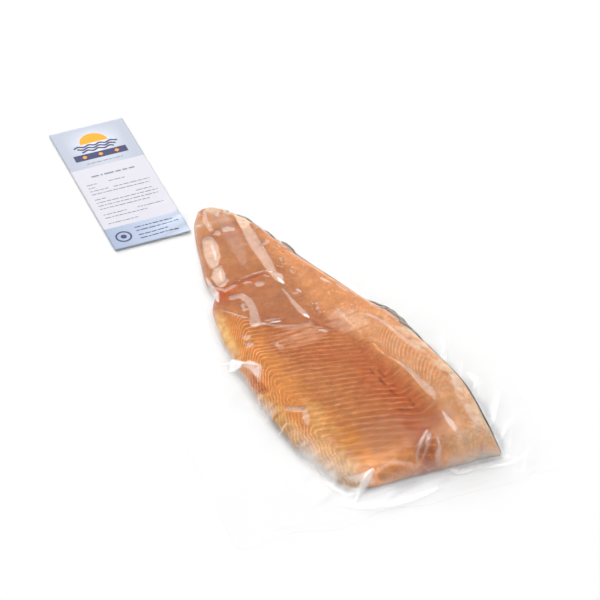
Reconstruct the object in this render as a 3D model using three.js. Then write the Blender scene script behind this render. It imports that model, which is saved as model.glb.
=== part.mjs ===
import * as THREE from "three";
import { mergeVertices } from "three/addons/utils/BufferGeometryUtils.js";

// A skin-on trout fillet sealed in a clear vacuum pouch, with a paper label stuck on the film.
// Millimetres, +Z up. X runs along the pouch from the tail (-X) to the head cut (+X), and Y runs
// across it from the belly side (-Y) to the back of the fish (+Y). The origin is under the middle
// of the pouch, on the surface that it lies on.
// The pouch is one closed solid: the fillet's bulge with the film drawn tight over it, and round
// it the flat hem where the two films lie on each other.

// Pouch
const POUCH_LENGTH = 430;
const POUCH_WIDTH = 204;
const CORNER_RADIUS = 7;
const HEM_THICKNESS = 0.9;

// Fillet, as [X, Y] along its two long edges and [X, thickness] along the body
const BACK_EDGE = [[-90, -19], [-76, -4], [-36, 12], [20, 34], [76, 56], [132, 69], [190, 71]];
const BELLY_EDGE = [[-90, -25], [-74, -33], [-36, -41], [28, -51], [84, -50], [132, -44], [190, -25]];
const THICKNESS = [[-90, 4], [-60, 8], [-10, 13], [50, 18], [110, 22], [150, 21], [190, 14]];
// Share of the thickness across the body, from the thin belly flap to the loin beside the back
const SECTION = [[0, 0.34], [0.2, 0.5], [0.5, 0.78], [0.62, 0.83], [0.82, 0.98], [1, 0.84]];
const TAIL_X = -90;
const CUT_X = 190;
const NOTCH = { x: -4, depth: 4, reach: 9 };

// How far the film runs down outside each edge, and how far inside the edge the flesh rounds off
const BELLY_FALL = { skirt: 5, roll: 6 };
const BACK_FALL = { skirt: 7, roll: 9 };
const CUT_FALL = { skirt: 6, roll: 14 };
const TAIL_FALL = { skirt: 6, roll: 10 };
// The pocket of film that stands out from the head cut before it reaches the hem
const CUT_POCKET = { y: 0, reach: 14, halfWidth: 26 };

// Waves that lift the hem clear of the surface. Those beside the fillet run aslant. The back ones
// are pleats in the width next to the back edge, and the belly ones reach their height further out.
// From and full are the X between which waves grow, and flatTo is how far from the fillet they start.
const BACK_WAVES = { height: 4, pitch: 24, slant: 1.18, from: 50, full: 100, flatTo: 3, width: 24 };
const BELLY_WAVES = { height: 1.6, pitch: 61, slant: 0.3, flatTo: 22, reach: 30 };
const CUT_WAVES = { height: 3.5, pitch: 58, shift: 30, from: 200, full: 215 };
// The wavy line of the pouch's open end, as far as it runs in
const END_SCALLOP = { depth: 3, pitch: 76, shift: 19 };

// Label
const LABEL_LENGTH = 129;
const LABEL_WIDTH = 51;
const LABEL_THICKNESS = 0.35;
const LABEL_CENTRE = { x: -135.2, y: -63.8 };
const LABEL_TURN = THREE.MathUtils.degToRad(2.5);
const LABEL_GAP = 0.35;
const LABEL_CELLS = { along: 20, across: 6 };

// Plain looks: the flesh that shows through the film, and the pale blue paper
const POUCH_LOOK = { color: 0xd98a5c, roughness: 0.2, metalness: 0 };
const LABEL_LOOK = { color: 0xe3e6f4, roughness: 0.55, metalness: 0 };

// The pouch's net: its columns over the fillet as [from X, to X, cells], the cells along the hem
// beyond them and in the rounded corners, and the cells across it in each zone
const FILLET_COLUMNS = [[-94, -70, 6], [-70, 178, 42], [178, 198, 6]];
const HEM_CELLS = { far: 13, near: 2, corner: 3 };
const ROW_CELLS = { bellyHem: 5, bellyWall: 3, body: 10, backWall: 4, backHem: 5 };
const LEAST_BODY_WIDTH = 34;
const FAR_GUIDES = { belly: -42, back: 28 };

const { clamp, lerp, smoothstep } = THREE.MathUtils;

// The height at x of a smooth curve through points that are sorted by x
function through(points, x) {
  const last = points.length - 1;
  const here = clamp(x, points[0][0], points[last][0]);
  let k = 0;
  while (k < last - 1 && here > points[k + 1][0]) k += 1;
  const slope = (i) => {
    const [a, b] = [points[Math.max(i - 1, 0)], points[Math.min(i + 1, last)]];
    return (b[1] - a[1]) / (b[0] - a[0]);
  };
  const [x0, y0] = points[k];
  const [x1, y1] = points[k + 1];
  const t = (here - x0) / (x1 - x0);
  const ease = t * t * (3 - 2 * t);
  const leave = t * (1 - t) * (1 - t) * slope(k);
  const arrive = t * t * (1 - t) * slope(k + 1);
  return lerp(y0, y1, ease) + (x1 - x0) * (leave - arrive);
}

// The small cut in the belly edge at the vent, where the belly flap begins
function notchAt(x) {
  const off = (x - NOTCH.x) / NOTCH.reach;
  return NOTCH.depth * Math.exp(-off * off);
}

const bellyEdge = (x) => through(BELLY_EDGE, x) + notchAt(x);
const backEdge = (x) => through(BACK_EDGE, x);

// 0 outside an edge's skirt, 1 where the body has its full thickness; d is the distance inside it
function rise(d, fall) {
  return smoothstep(d, -fall.skirt, fall.roll);
}

// The head cut's fall, which runs further out across the pocket of film
function cutFallAt(y) {
  const off = (y - CUT_POCKET.y) / CUT_POCKET.halfWidth;
  return { skirt: CUT_FALL.skirt + CUT_POCKET.reach * Math.exp(-off * off), roll: CUT_FALL.roll };
}

// How far the fillet lifts the upper film above the hem
function bulge(x, y) {
  const belly = bellyEdge(x);
  const back = backEdge(x);
  const across = clamp((y - belly) / (back - belly), 0, 1);
  const body = through(THICKNESS, x) * through(SECTION, across);
  const sides = rise(y - belly, BELLY_FALL) * rise(back - y, BACK_FALL);
  const ends = rise(x - TAIL_X, TAIL_FALL) * rise(CUT_X - x, cutFallAt(y));
  return body * sides * ends;
}

// 0 to 1 and back as a coordinate runs along a row of waves
const wave = (along, pitch) => 0.5 + 0.5 * Math.sin((2 * Math.PI * along) / pitch);

// Half the pouch's width at x, less near its rounded corners
function halfWidth(x) {
  const past = clamp(Math.abs(x) - (POUCH_LENGTH / 2 - CORNER_RADIUS), 0, CORNER_RADIUS);
  return POUCH_WIDTH / 2 - CORNER_RADIUS + Math.sqrt(CORNER_RADIUS ** 2 - past ** 2);
}

// How far the hem's underside stands clear of the surface; none of it does under the fillet
function lift(x, y) {
  const backOut = clamp((y - backEdge(x) - BACK_WAVES.flatTo) / BACK_WAVES.width, 0, 1);
  const backPart = smoothstep(x, BACK_WAVES.from, BACK_WAVES.full) * Math.sin(Math.PI * backOut) ** 2;
  const bellyOut = clamp((bellyEdge(x) - y - BELLY_WAVES.flatTo) / BELLY_WAVES.reach, 0, 1);
  const bellyPart = smoothstep(x, TAIL_X, 0) * bellyOut;
  const cutPart = smoothstep(x, CUT_WAVES.from, CUT_WAVES.full);
  return Math.max(
    BACK_WAVES.height * backPart * wave(x + BACK_WAVES.slant * y, BACK_WAVES.pitch),
    BELLY_WAVES.height * bellyPart * wave(x + BELLY_WAVES.slant * y, BELLY_WAVES.pitch),
    CUT_WAVES.height * cutPart * wave(y + CUT_WAVES.shift, CUT_WAVES.pitch),
  );
}

const topAt = (x, y) => lift(x, y) + HEM_THICKNESS + bulge(x, y);

// A row of positions from a list of [from, to, cells] zones
function positions(zones) {
  const out = [zones[0][0]];
  for (const [from, to, cells] of zones) {
    for (let k = 1; k <= cells; k += 1) out.push(lerp(from, to, k / cells));
  }
  return out;
}

// The Y positions of the net at x: they close up at the fillet's two walls
function rowsAt(x) {
  const middle = (bellyEdge(x) + backEdge(x)) / 2;
  const toFarEnd = smoothstep(-x, -TAIL_X, POUCH_LENGTH / 2);
  const belly = lerp(Math.min(bellyEdge(x), middle - LEAST_BODY_WIDTH / 2), FAR_GUIDES.belly, toFarEnd);
  const back = lerp(Math.max(backEdge(x), middle + LEAST_BODY_WIDTH / 2), FAR_GUIDES.back, toFarEnd);
  const half = halfWidth(x);
  return positions([
    [-half, belly - BELLY_FALL.skirt, ROW_CELLS.bellyHem],
    [belly - BELLY_FALL.skirt, belly + BELLY_FALL.roll, ROW_CELLS.bellyWall],
    [belly + BELLY_FALL.roll, back - BACK_FALL.roll, ROW_CELLS.body],
    [back - BACK_FALL.roll, back + BACK_FALL.skirt, ROW_CELLS.backWall],
    [back + BACK_FALL.skirt, half, ROW_CELLS.backHem],
  ]);
}

// A flat block of cells along, cells across and one layer, whose every point is then moved by
// place(i, j, isTop)
function pressedBlock(along, across, place) {
  const block = new THREE.BoxGeometry(1, 1, 1, along, across, 1);
  block.deleteAttribute("normal");
  block.deleteAttribute("uv");
  const net = mergeVertices(block);
  const points = net.getAttribute("position");
  for (let k = 0; k < points.count; k += 1) {
    const i = Math.round((points.getX(k) + 0.5) * along);
    const j = Math.round((points.getY(k) + 0.5) * across);
    points.setXYZ(k, ...place(i, j, points.getZ(k) > 0));
  }
  net.computeVertexNormals();
  return net;
}

function pouchGeometry() {
  const end = POUCH_LENGTH / 2;
  const straight = end - CORNER_RADIUS;
  const columns = positions([
    [-end, -straight, HEM_CELLS.corner],
    [-straight, FILLET_COLUMNS[0][0], HEM_CELLS.far],
    ...FILLET_COLUMNS,
    [FILLET_COLUMNS.at(-1)[1], straight, HEM_CELLS.near],
    [straight, end, HEM_CELLS.corner],
  ]);
  const rows = columns.map(rowsAt);
  const scallop = (y) => END_SCALLOP.depth * wave(y + END_SCALLOP.shift, END_SCALLOP.pitch);
  return pressedBlock(columns.length - 1, rows[0].length - 1, (i, j, isTop) => {
    const column = columns[i];
    const y = rows[i][j];
    const inset = scallop(y) * smoothstep(column, CUT_X, end);
    const x = column - inset;
    return [x, y, isTop ? topAt(x, y) : lift(x, y)];
  });
}

function labelGeometry() {
  const { along, across } = LABEL_CELLS;
  return pressedBlock(along, across, (i, j, isTop) => {
    const a = (i / along - 0.5) * LABEL_LENGTH;
    const b = (j / across - 0.5) * LABEL_WIDTH;
    const x = LABEL_CENTRE.x + a * Math.cos(LABEL_TURN) - b * Math.sin(LABEL_TURN);
    const y = LABEL_CENTRE.y + a * Math.sin(LABEL_TURN) + b * Math.cos(LABEL_TURN);
    return [x, y, topAt(x, y) + LABEL_GAP + (isTop ? LABEL_THICKNESS : 0)];
  });
}

function piece(name, geometry, look) {
  const mesh = new THREE.Mesh(geometry, new THREE.MeshStandardMaterial(look));
  mesh.name = name;
  return mesh;
}

const pack = new THREE.Group();
pack.name = "trout_fillet_pack";
pack.add(piece("vacuum_pouch", pouchGeometry(), POUCH_LOOK));
pack.add(piece("label", labelGeometry(), LABEL_LOOK));

export default pack;
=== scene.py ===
"""A skin-on trout fillet in a clear vacuum pouch with a paper label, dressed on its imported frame."""

import bpy
import numpy as np
from bpy.props import FloatProperty, FloatVectorProperty, PointerProperty
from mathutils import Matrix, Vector


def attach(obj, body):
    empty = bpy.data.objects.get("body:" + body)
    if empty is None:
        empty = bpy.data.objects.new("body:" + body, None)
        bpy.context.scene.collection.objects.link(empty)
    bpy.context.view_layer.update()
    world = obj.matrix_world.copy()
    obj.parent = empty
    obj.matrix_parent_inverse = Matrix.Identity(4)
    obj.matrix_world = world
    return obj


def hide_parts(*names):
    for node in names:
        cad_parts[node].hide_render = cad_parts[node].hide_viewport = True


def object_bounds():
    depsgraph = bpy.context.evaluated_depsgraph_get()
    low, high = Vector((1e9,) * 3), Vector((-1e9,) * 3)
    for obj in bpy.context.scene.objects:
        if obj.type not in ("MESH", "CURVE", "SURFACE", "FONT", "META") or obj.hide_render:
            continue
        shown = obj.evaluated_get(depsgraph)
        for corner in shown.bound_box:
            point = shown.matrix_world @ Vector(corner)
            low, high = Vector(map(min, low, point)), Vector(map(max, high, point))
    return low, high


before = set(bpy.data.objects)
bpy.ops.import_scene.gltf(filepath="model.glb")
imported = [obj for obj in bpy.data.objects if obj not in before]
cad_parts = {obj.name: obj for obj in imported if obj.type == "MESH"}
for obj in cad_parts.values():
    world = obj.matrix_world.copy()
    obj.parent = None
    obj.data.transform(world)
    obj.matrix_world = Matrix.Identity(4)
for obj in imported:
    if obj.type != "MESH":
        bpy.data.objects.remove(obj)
CAD_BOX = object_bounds()

bl_info = {
    "name": "Vacuum-packed trout fillet",
    "version": (1, 0, 0),
    "blender": (4, 5, 0),
    "location": "View3D > Sidebar > Trout",
    "description": "Builds a trout fillet, its skin, the clear pouch round it and the label on the pouch",
    "category": "Add Mesh",
}

# Shapes are worked out in millimetres in the part's frame: X from the tail to the head cut, Y from
# the belly side to the back of the fish, Z up from the surface that the pack lies on.
MM = 0.001
BODY = "root"

# The pouch's half length and half width come from the frame
POUCH_X, POUCH_Y = (1000 * corner for corner in CAD_BOX[1][:2])
POUCH_CORNER = 7

# The fillet's long edges as (X, Y), its thickness as (X, mm) and its section as (share, share)
BACK_EDGE = [(-90, -19), (-76, -4), (-36, 12), (20, 34), (76, 56), (132, 69), (190, 71)]
BELLY_EDGE = [(-90, -25), (-74, -33), (-36, -41), (28, -51), (84, -50), (132, -44), (190, -25)]
THICKNESS = [(-90, 4), (-60, 8), (-10, 13), (50, 18), (110, 22), (150, 21), (190, 14)]
SECTION = [(0, 0.34), (0.2, 0.5), (0.5, 0.78), (0.62, 0.83), (0.82, 0.98), (1, 0.84)]
TAIL_X, CUT_X = -90, 190
# The cut of the vent in the belly edge, and a nick in the back edge by the tail
NOTCH_X, NOTCH_DEPTH, NOTCH_REACH = -4, 4, 9
NICK_X, NICK_DEPTH, NICK_REACH = -77.5, 3.2, 1.8
BELLY_ROLL, BACK_ROLL, TAIL_ROLL, CUT_ROLL = 6, 9, 6, 16
# How round the back edge is at the thin tail, and the X between which it becomes BACK_ROLL
TAIL_BACK_ROLL, ROLL_GROWS = 3.5, (-80, 0)
# Share of the thickness that lies below the widest line of the side, where the flank turns under
UNDER_SHARE = 0.38

# Lines that run along the flesh as (X, Y): the row of pin bones, and the seam where the loin begins
PIN_LINE = [(-90, -14), (-20, -4), (45, 2), (68, 14), (100, 19), (150, 31), (190, 40)]
LOIN_SEAM = [(-90, -12), (0, 9), (60, 21), (97, 29), (119, 37), (150, 43.5), (170, 46), (190, 52)]
# Where the smooth membrane over the tail half ends and the bare muscle begins, as (Y, X)
MEMBRANE_END = [(-52, 4), (-36, 24), (-22, 42), (0, 56), (16, 70), (30, 72)]
# Spacing of the muscle segments at the vent, and how much it grows for each millimetre of X
SEGMENT_PITCH, SEGMENT_GROWTH = 3.1, 0.0125
# How far the lines between them lean back for each millimetre from the pin bones
BELLY_SWEEP, MIDDLE_SWEEP = 0.356, 0.3
# Where the lines hook round at the belly: how wide, how steep, and how soft the turn is
HOOK_WIDTH, HOOK_SWEEP, HOOK_ROUND = 16, 2.8, 5
# In the loin the lines are arcs: their slope by the back, how much more they slope by the seam,
# over what width that dies out, and how much closer they lie than the lines of the belly
LOIN_SWEEP, ARC_SWEEP, ARC_WIDTH, LOIN_CROWD = 0.8, 2.4, 5, 1.5

# Streaks and dots of blood in the flesh, as strokes of (X, Y, half width), each with its strength
BLOOD = [
    (1, [(58.2, -0.6, 0.9), (59.6, -0.2, 0.9)]),
    (1, [(-20.3, 7.8, 0.8), (-19.5, 8, 0.8)]),
    (1, [(-9, -7, 0.7), (-7.5, -6.4, 0.7)]),
    (1, [(109.5, 17.4, 0.5), (112.5, 17.8, 0.9), (115.5, 19, 0.5)]),
    (1, [(118.2, 20.1, 0.5), (121.6, 20, 1.1), (126.4, 21.4, 0.7)]),
    (1, [(129.4, 21.6, 0.5), (133.2, 22.6, 0.9), (137.8, 24.8, 0.5)]),
    (1, [(148, 20.5, 0.5), (149.6, 24, 0.9), (151.4, 28, 0.5)]),
    (1, [(146.4, 30.6, 0.6), (147.8, 31.2, 0.6)]),
]
# Parts of the tail half that are paler, as strokes of (X, Y, half width), each with how pale it is
PALE_PARTS = [
    (0.7, [(-81, -3.6, 2), (-70, -4.2, 4), (-58, -4.6, 4)]),
    (0.15, [(-60, -4.4, 4), (-40, -4.8, 4), (-4, -4.4, 3.4)]),
    (0.4, [(-56, -30, 4), (-47, -31, 6), (-38, -32.6, 6), (-30, -34, 3)]),
    (0.45, [(-25, -33.5, 3), (-18, -35.5, 5.5), (-11, -36, 4)]),
]
# Single strokes of (X, Y, half width): the fold at the vent, the red muscle by the head cut, the
# fat among the muscle of the belly, the pale and the milky parts of the tail's end, the darker strip
# of the belly flap, and the lens of belly muscle that the head cut lays open
VENT_FOLD = [(-11.4, -41.8, 1), (-2.3, -36.3, 2), (-5, -25, 2.6), (-4.4, -11, 2), (0, -8, 0.5)]
RED_BY_CUT = [(150, 22, 10), (172, 26, 13), (189, 27, 10)]
FAT_IN_BELLY = [(118, -24, 6), (148, -24, 12), (172, -21, 9)]
TAIL_PALE = [(-90, -14, 7), (-78, -4, 8), (-62, -2, 6)]
TAIL_MILKY = [(-90, -22, 8), (-84, -13, 8), (-76, -8, 5)]
FLAP_STRIP = [(80, -47.5, 3), (88, -46.5, 4.5), (97, -44.5, 3)]
CUT_LENS = [(186, -4, 3), (185.8, 3, 4.2), (187, 10, 3.6), (188, 15, 1.5)]
# Oval patches of red muscle at the vent, as (how red, X, Y, reach along X, reach along Y)
RED_PATCHES = [(1.1, 0, -38, 10, 9), (0.9, -4, -22, 4.5, 16)]

# Hollows of the flesh that the film bridges, as strokes of (X, Y, half width), each with its depth
HOLLOWS = [
    (1.0, [(-82, -2.5, 2.5), (-74, -3.2, 4), (-61, -4.4, 4.5), (-32, -4.9, 4.4), (-5, -4.5, 3.8),
           (4, -3.5, 3.2), (10.5, -2.1, 1)]),
    (0.7, [(14, -4.4, 0.5), (26, -3.4, 1.6), (38, -1.8, 2.5), (45, -0.4, 2.4), (48, 0.4, 0.4)]),
    (0.8, [(6.5, -35, 2.6), (7.5, -29, 2.8), (14, -27, 3.0), (24, -27, 3.0), (35, -29.6, 4.4),
           (37, -30, 3.5)]),
    (0.6, [(38.2, -23.5, 0.9), (39.1, -20, 1.3), (40.6, -15.3, 0.6)]),
    (0.7, [(116.5, -38, 1.6), (119, -33.5, 2.8), (121.5, -29.5, 2.2)]),
    (0.6, [(122, -28.5, 2.0), (128, -29.8, 2.8), (133, -31, 1.5)]),
    (0.8, [(108, 33.8, 0.4), (119, 37.5, 1.3), (132.6, 40.8, 2.5), (140, 42.8, 3.4), (145, 44.1, 2.6),
           (149, 43.5, 0.4)]),
    (0.7, [(159, 44, 0.5), (168.7, 45.7, 2.0), (177, 47.5, 2.6), (184, 50.5, 0.8)]),
    (1.4, [(-55, -30, 4.5), (-47, -31, 6.5), (-37, -32.8, 6.5), (-29, -35, 3.5)]),
    (1.3, [(-25.5, -33.5, 3.5), (-18, -35.5, 6), (-10, -36, 4)]),
    (0.5, [(-86, -22, 1.5), (-76, -25, 2.5), (-64, -25, 2.0)]),
    (0.6, [(49, 18.3, 0.8), (56, 19.6, 2.2), (64, 21.6, 0.5)]),
    (0.6, [(24, 27, 0.7), (30, 29, 1.3), (36, 31, 0.5)]),
    (0.7, [(60, 33.4, 1.2), (72, 40, 1.8), (86, 43.6, 1.6), (98, 47.2, 2.4), (108, 53, 1.6)]),
    (0.6, [(132, 61, 2), (148, 60, 4.2), (164, 60.5, 3.6), (178, 61, 1.5)]),
    (0.5, [(66, -44.5, 1.2), (76, -43.5, 2.8), (86, -44.5, 1.6)]),
]
# Creases that the film makes over the flesh, as strokes of (X, Y, half width), each with its height
CREASES = [
    (1.3, [(168.8, 31.8, 0.4), (176.2, 24.6, 1.1), (182.3, 19.8, 1.1), (186.5, 18.6, 0.5)]),
    (1.1, [(172, 32.4, 0.4), (179.8, 27, 0.9), (184.5, 22.7, 0.9), (187.1, 18.1, 0.4)]),
    (1.8, [(176.1, 35, 0.4), (181.7, 34.4, 0.8), (184.9, 32, 2.2), (187.1, 31.2, 2.2), (188.6, 30.7, 1.2)]),
    (1.1, [(186.5, -8.5, 0.4), (182.4, -1.4, 1), (181.6, 3.2, 1.1), (183.1, 8.9, 1.1), (185.2, 14.4, 1),
           (187.6, 19.2, 0.4)]),
    (0.7, [(-7, -27, 0.4), (-8, -17, 1.2), (-6.5, -8, 0.8), (-5, -4, 0.4)]),
    (0.8, [(-1, -4.2, 1.0), (1.9, -2.4, 3.0), (4.5, -1.6, 1.0)]),
    (0.8, [(187, 45, 0.6), (190.5, 48, 1.8), (192, 53, 1.2)]),
    (0.5, [(16, 20, 0.5), (20, 22, 1.4), (23, 24, 0.4)]),
    (0.5, [(19, 3, 0.4), (21, 3.8, 1.5), (23, 4.4, 0.4)]),
    (0.6, [(62, 1.6, 0.5), (64, 4, 1.6), (66, 6, 0.5)]),
]
# Folds that stand beside the flesh, as strokes of (X, Y, half width, Z of the crest)
FOLDS = [
    [(184, -8, 0.8, 11.5), (186.5, -14, 1.3, 8), (189, -18, 1.5, 4.8), (194, -21.7, 1.6, 2),
     (198, -25, 0.6, 0.9)],
    [(196.5, -31.5, 0.4, 0.9), (200.5, -25.5, 1.2, 1.6), (206, -16, 2, 2), (209.4, -5, 2.2, 2.1),
     (208.6, 6, 2, 2), (206, 16, 1.5, 1.6), (202.5, 25, 0.5, 0.9)],
    [(74, -42, 0.8, 10.6), (69, -46.5, 1.4, 9.4), (64, -50.5, 1.6, 6), (59.5, -54, 1.6, 3),
     (56.5, -57, 0.5, 0.9)],
    [(113.3, -51.5, 0.4, 1), (111, -48, 0.9, 4), (108.6, -44.4, 0.5, 8)],
    [(129.7, -47.5, 0.4, 1), (128.4, -44.5, 0.9, 4), (127, -41.5, 0.5, 7)],
    [(149.5, -43, 0.4, 1), (147, -39.5, 0.9, 4), (144.4, -35.5, 0.5, 8)],
    [(160.3, -39.5, 0.4, 1), (156, -36, 0.9, 4), (151.1, -33, 0.5, 8)],
]
# Painted sheen: film that is doubled, crumpled or tilted to the light is painted white by a diffuse haze in
# place of its reflections, as strokes of (X, Y, half width), each with how white it is
SHEEN_STROKES = [
    (0.75, [(183.5, -8, 1.4), (185.5, -11.5, 3), (188.5, -15, 2.8), (192, -19.5, 1.8), (198, -25, 0.8)]),
    (0.28, [(196.5, -31.5, 0.8), (200.5, -25.5, 2), (206, -16, 2.6), (209.4, -5, 2.6), (208.6, 6, 2.4),
           (206, 16, 2), (202.5, 25, 0.8)]),
    (0.06, [(192, -18, 6), (200, -14, 11), (202, 0, 12), (200, 14, 8), (198, 26, 3)]),
    (0.5, [(192, 38, 1), (193.5, 41, 2.4), (194.5, 46, 2), (195, 50, 0.8)]),
    (0.25, [(194, 52, 1), (196, 62, 1.6), (197, 72, 1.2), (195, 84, 1)]),
    (0.16, [(76.4, 76.5, 1), (84.7, 74.6, 2), (92, 73, 2), (105.3, 67.6, 1)]),
    (0.16, [(113.5, 80, 1), (124, 80.5, 2.2), (132.9, 75.6, 1)]),
    (0.2, [(138.8, 89.5, 1), (145.1, 85.6, 2.2), (158.8, 77.3, 2.2), (164.8, 73, 1)]),
    (0.2, [(163, 88, 1), (166.8, 82.6, 2), (176.4, 75.4, 1)]),
    (0.2, [(177, 35, 0.6), (181.7, 34.4, 1.4), (185.5, 32, 2.6), (189, 30.7, 1.6)]),
    (0.55, [(3, -3.6, 0.6), (6, -3, 1.8), (9.5, -2.4, 0.8)]),
    (0.45, [(176, -34, 1.5), (183, -30, 4), (189, -25, 4.5), (192, -18, 2)]),
    (0.4, [(44, -1, 0.6), (47, -0.2, 1.6), (49.5, 0.3, 0.6)]),
    (0.35, [(37.6, -33.4, 0.5), (38.6, -29.5, 1.1), (40.2, -25, 0.9)]),
    (0.45, [(41.2, -22, 0.5), (42.6, -18.5, 1.1), (43.4, -15.5, 0.5)]),
    (0.3, [(-49, -29.5, 0.6), (-40, -30.5, 1.2), (-33, -32, 0.5)]),
    (0.06, [(-86, -20, 3), (-67, -15, 7), (-45, -15, 7), (-20, -18, 3)]),
    (0.4, [(-20, -42.5, 0.6), (-10, -42.5, 2), (-3, -42, 2.6), (6, -43.5, 0.8)]),
    (0.3, [(-22, -33, 0.5), (-17, -34.5, 1.1), (-13, -34.8, 0.5)]),
]
# Flat facets of film painted white as a whole, a painted reflection of the bright room, each as how white it
# is, how soft its edge is in millimetres, and its corners, anticlockwise
SHEEN_FACETS = [
    (0.75, 2, [(65.2, -57.5), (69.5, -50), (66, -46.8), (54.3, -52.2)]),
    (0.24, 3, [(66, -48), (69.5, -50), (83, -46), (84, -41), (76.5, -38), (66, -42.5)]),
    (0.3, 2.5, [(178, -26), (184, -24), (191, -14), (190, -6), (183, -8)]),
]
# How white the painted sheen of a crease is for each millimetre of its height, and of a fold that stands
# beside the flesh
CREASE_SHEEN, FOLD_SHEEN = 0.15, 0.3
# Painted light: how white the film is painted where it leaves the edges of the flesh, over their contact
# shadow, and how far that reaches
EDGE_PAINTED_LIGHT, EDGE_REACH = 0.3, 2.5

# The skin's slivers past the back edge, as (from X, to X, how far they stand out)
SLIVERS = [(-72, -62, 0.9), (-52, -41, 1.0), (-36, -21, 2.0), (40, 90, 3.8)]
# The height of the skin over the surface, its thickness, and the gap between it and the flesh
SKIN_UNDER, SKIN_THICK, SKIN_GAP = 0.3, 0.45, 0.1
# How far the skin ends short of the head cut, and how far inside the belly edge it stays
SKIN_SHORT, SKIN_IN = 3, 0.8
FLESH_UNDER = SKIN_UNDER + SKIN_THICK + SKIN_GAP
# Share of each sliver that the flesh fills, and the least sliver that carries the film, from how far
# inside the back edge
SLIVER_FILL, LEAST_SLIVER, SLIVER_IN = 0.85, 0.3, 5
# How far up and over the back edge the skin turns, as the sine of the angle at which it ends: beside
# no sliver, how much more at a sliver of the full reach or wider, and the most that it may be
SKIN_COVER, SLIVER_COVER, SLIVER_FULL, MOST_COVER = 0.43, 0.54, 2, 0.992

# How far the lower film lies above the surface, the gap between the flesh and the upper film, the
# height of the hem and of its weld, and the weld's distance from the rim, from and to
FILM_UNDER, FILM_GAP = 0.06, 0.15
HEM_TOP, WELD_TOP, WELD_FROM_RIM = 0.9, 0.35, (7, 11)
# The gap under the upper film from which it begins to look like air, and at which it does in full
AIR_GAPS = (0.24, 0.4)
# Waves that lift the hem clear of the surface, as the frame has them: pleats aslant behind the back,
# long swells beside the belly, and ripples before the head cut. They grow between the X of grows
BACK_WAVES = {"height": 4, "pitch": 24, "slant": 1.18, "flat_to": 3, "width": 24, "grows": (50, 100)}
BELLY_WAVES = {"height": 1.6, "pitch": 61, "slant": 0.3, "flat_to": 22, "width": 30, "grows": (-90, 0)}
CUT_WAVES = {"height": 3.5, "pitch": 58, "shift": 30, "grows": (200, 215)}
# The wavy line of the pouch's open end, as far as it runs in
END_SCALLOP = {"depth": 3, "pitch": 76, "shift": 19}
# Low pleats of the loose film round the fillet: their height, how wide one is, the distances from the
# fillet between which they rise and die out, and the X between which they grow
PLEATS = {"height": 1.1, "size": 5.5, "rise": (1, 7), "die": (34, 9), "grows": (-115, -90)}

# How hard the vacuum pulls the film down, as its curvature for each millimetre: on the flesh, beside
# it, before the head cut, under the tent by the belly, more in one dip, and round a crease, there
# on a flank of the given width
PULL_ON_FLESH, PULL_BESIDE, PULL_AT_CUT, PULL_AT_TENT = 0.034, 0.2, 0.08, 0.13
PULL_IN_DIP, PULL_AT_CREASE, CREASE_FLANK = 0.06, 0.4, 3.5
# The tent as a stroke, the dip as an oval of (X, Y, reach along X, reach along Y), and half the width
# of the pocket of film before the head cut
TENT = [(55, -54, 5), (63, -48, 7), (70, -42, 6)]
DIP = (68, 14, 18, 14)
POCKET_HALF_WIDTH = 27
# The net on which the film is worked out: its step, and the rounds of pulling and of smoothing
FILM_STEP, PULL_ROUNDS, LAST_ROUNDS, SMOOTH_ROUNDS = 0.65, 300, 12, 3

# Points of each mesh along X and across, and the part of an underside that is one flat face
FLESH_COLUMNS, FLESH_ROWS, FLESH_FLAT = 540, 150, ((60, 490), (34, 108))
SKIN_COLUMNS, SKIN_FLAT_ROWS, SKIN_TURN_ROWS = 420, 46, 26
# The pouch's net is fine between these X and Y, and coarser towards its rim, in these steps
FINE_X, FINE_Y = (-95, 200), (-58, 76)
TAIL_STEP, BELLY_STEP, RIM_STEP = 2.5, 2, 1.2
POUCH_FLAT_TO_X, POUCH_FLAT_Y = 196, (-66, 44)
LABEL_COLUMNS, LABEL_ROWS = 105, 41


# Shape functions: each takes and gives numpy arrays of millimetres

def through(points, x):
    """The height at x of a smooth curve through points that are sorted by x."""
    px, py = np.array(points, float).T
    x = np.clip(x, px[0], px[-1])
    last = len(px) - 1
    k = np.clip(np.searchsorted(px, x, side="right") - 1, 0, last - 1)
    before = np.maximum(np.arange(last + 1) - 1, 0)
    after = np.minimum(np.arange(last + 1) + 1, last)
    slope = (py[after] - py[before]) / (px[after] - px[before])
    span = px[k + 1] - px[k]
    t = (x - px[k]) / span
    level = py[k] + (py[k + 1] - py[k]) * t * t * (3 - 2 * t)
    return level + span * (t * (1 - t) ** 2 * slope[k] - t * t * (1 - t) * slope[k + 1])


def ease(x, low, high):
    """0 at low, 1 at high, and a smooth step between; high may be the lower one."""
    t = np.clip((x - low) / (high - low), 0, 1)
    return t * t * (3 - 2 * t)


def roll(d, radius):
    """A quarter round: 0 at an edge, 1 where d is radius or more."""
    return np.sqrt(1 - (1 - np.clip(d / radius, 0, 1)) ** 2)


def bell(x, middle, reach):
    """1 at the middle, falling to nothing on both sides."""
    return np.exp(-(((x - middle) / reach) ** 2))


# Points along each side of the square table of random numbers that noise repeats, and where it starts
NOISE_TABLE, NOISE_START = 128, (61.3, 47.9)


def noise(x, y, size, seed):
    """Smooth noise from -1 to 1 with bumps about size mm wide."""
    table = np.random.default_rng(seed).uniform(-1, 1, (NOISE_TABLE, NOISE_TABLE))
    u, v = np.asarray(x) / size + NOISE_START[0], np.asarray(y) / size + NOISE_START[1]
    i, j = np.floor(u).astype(int), np.floor(v).astype(int)
    su, sv = ease(u - i, 0, 1), ease(v - j, 0, 1)
    i, j, next_i, next_j = (k % NOISE_TABLE for k in (i, j, i + 1, j + 1))
    near = table[i, j] * (1 - su) + table[next_i, j] * su
    far = table[i, next_j] * (1 - su) + table[next_i, next_j] * su
    return near * (1 - sv) + far * sv


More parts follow.
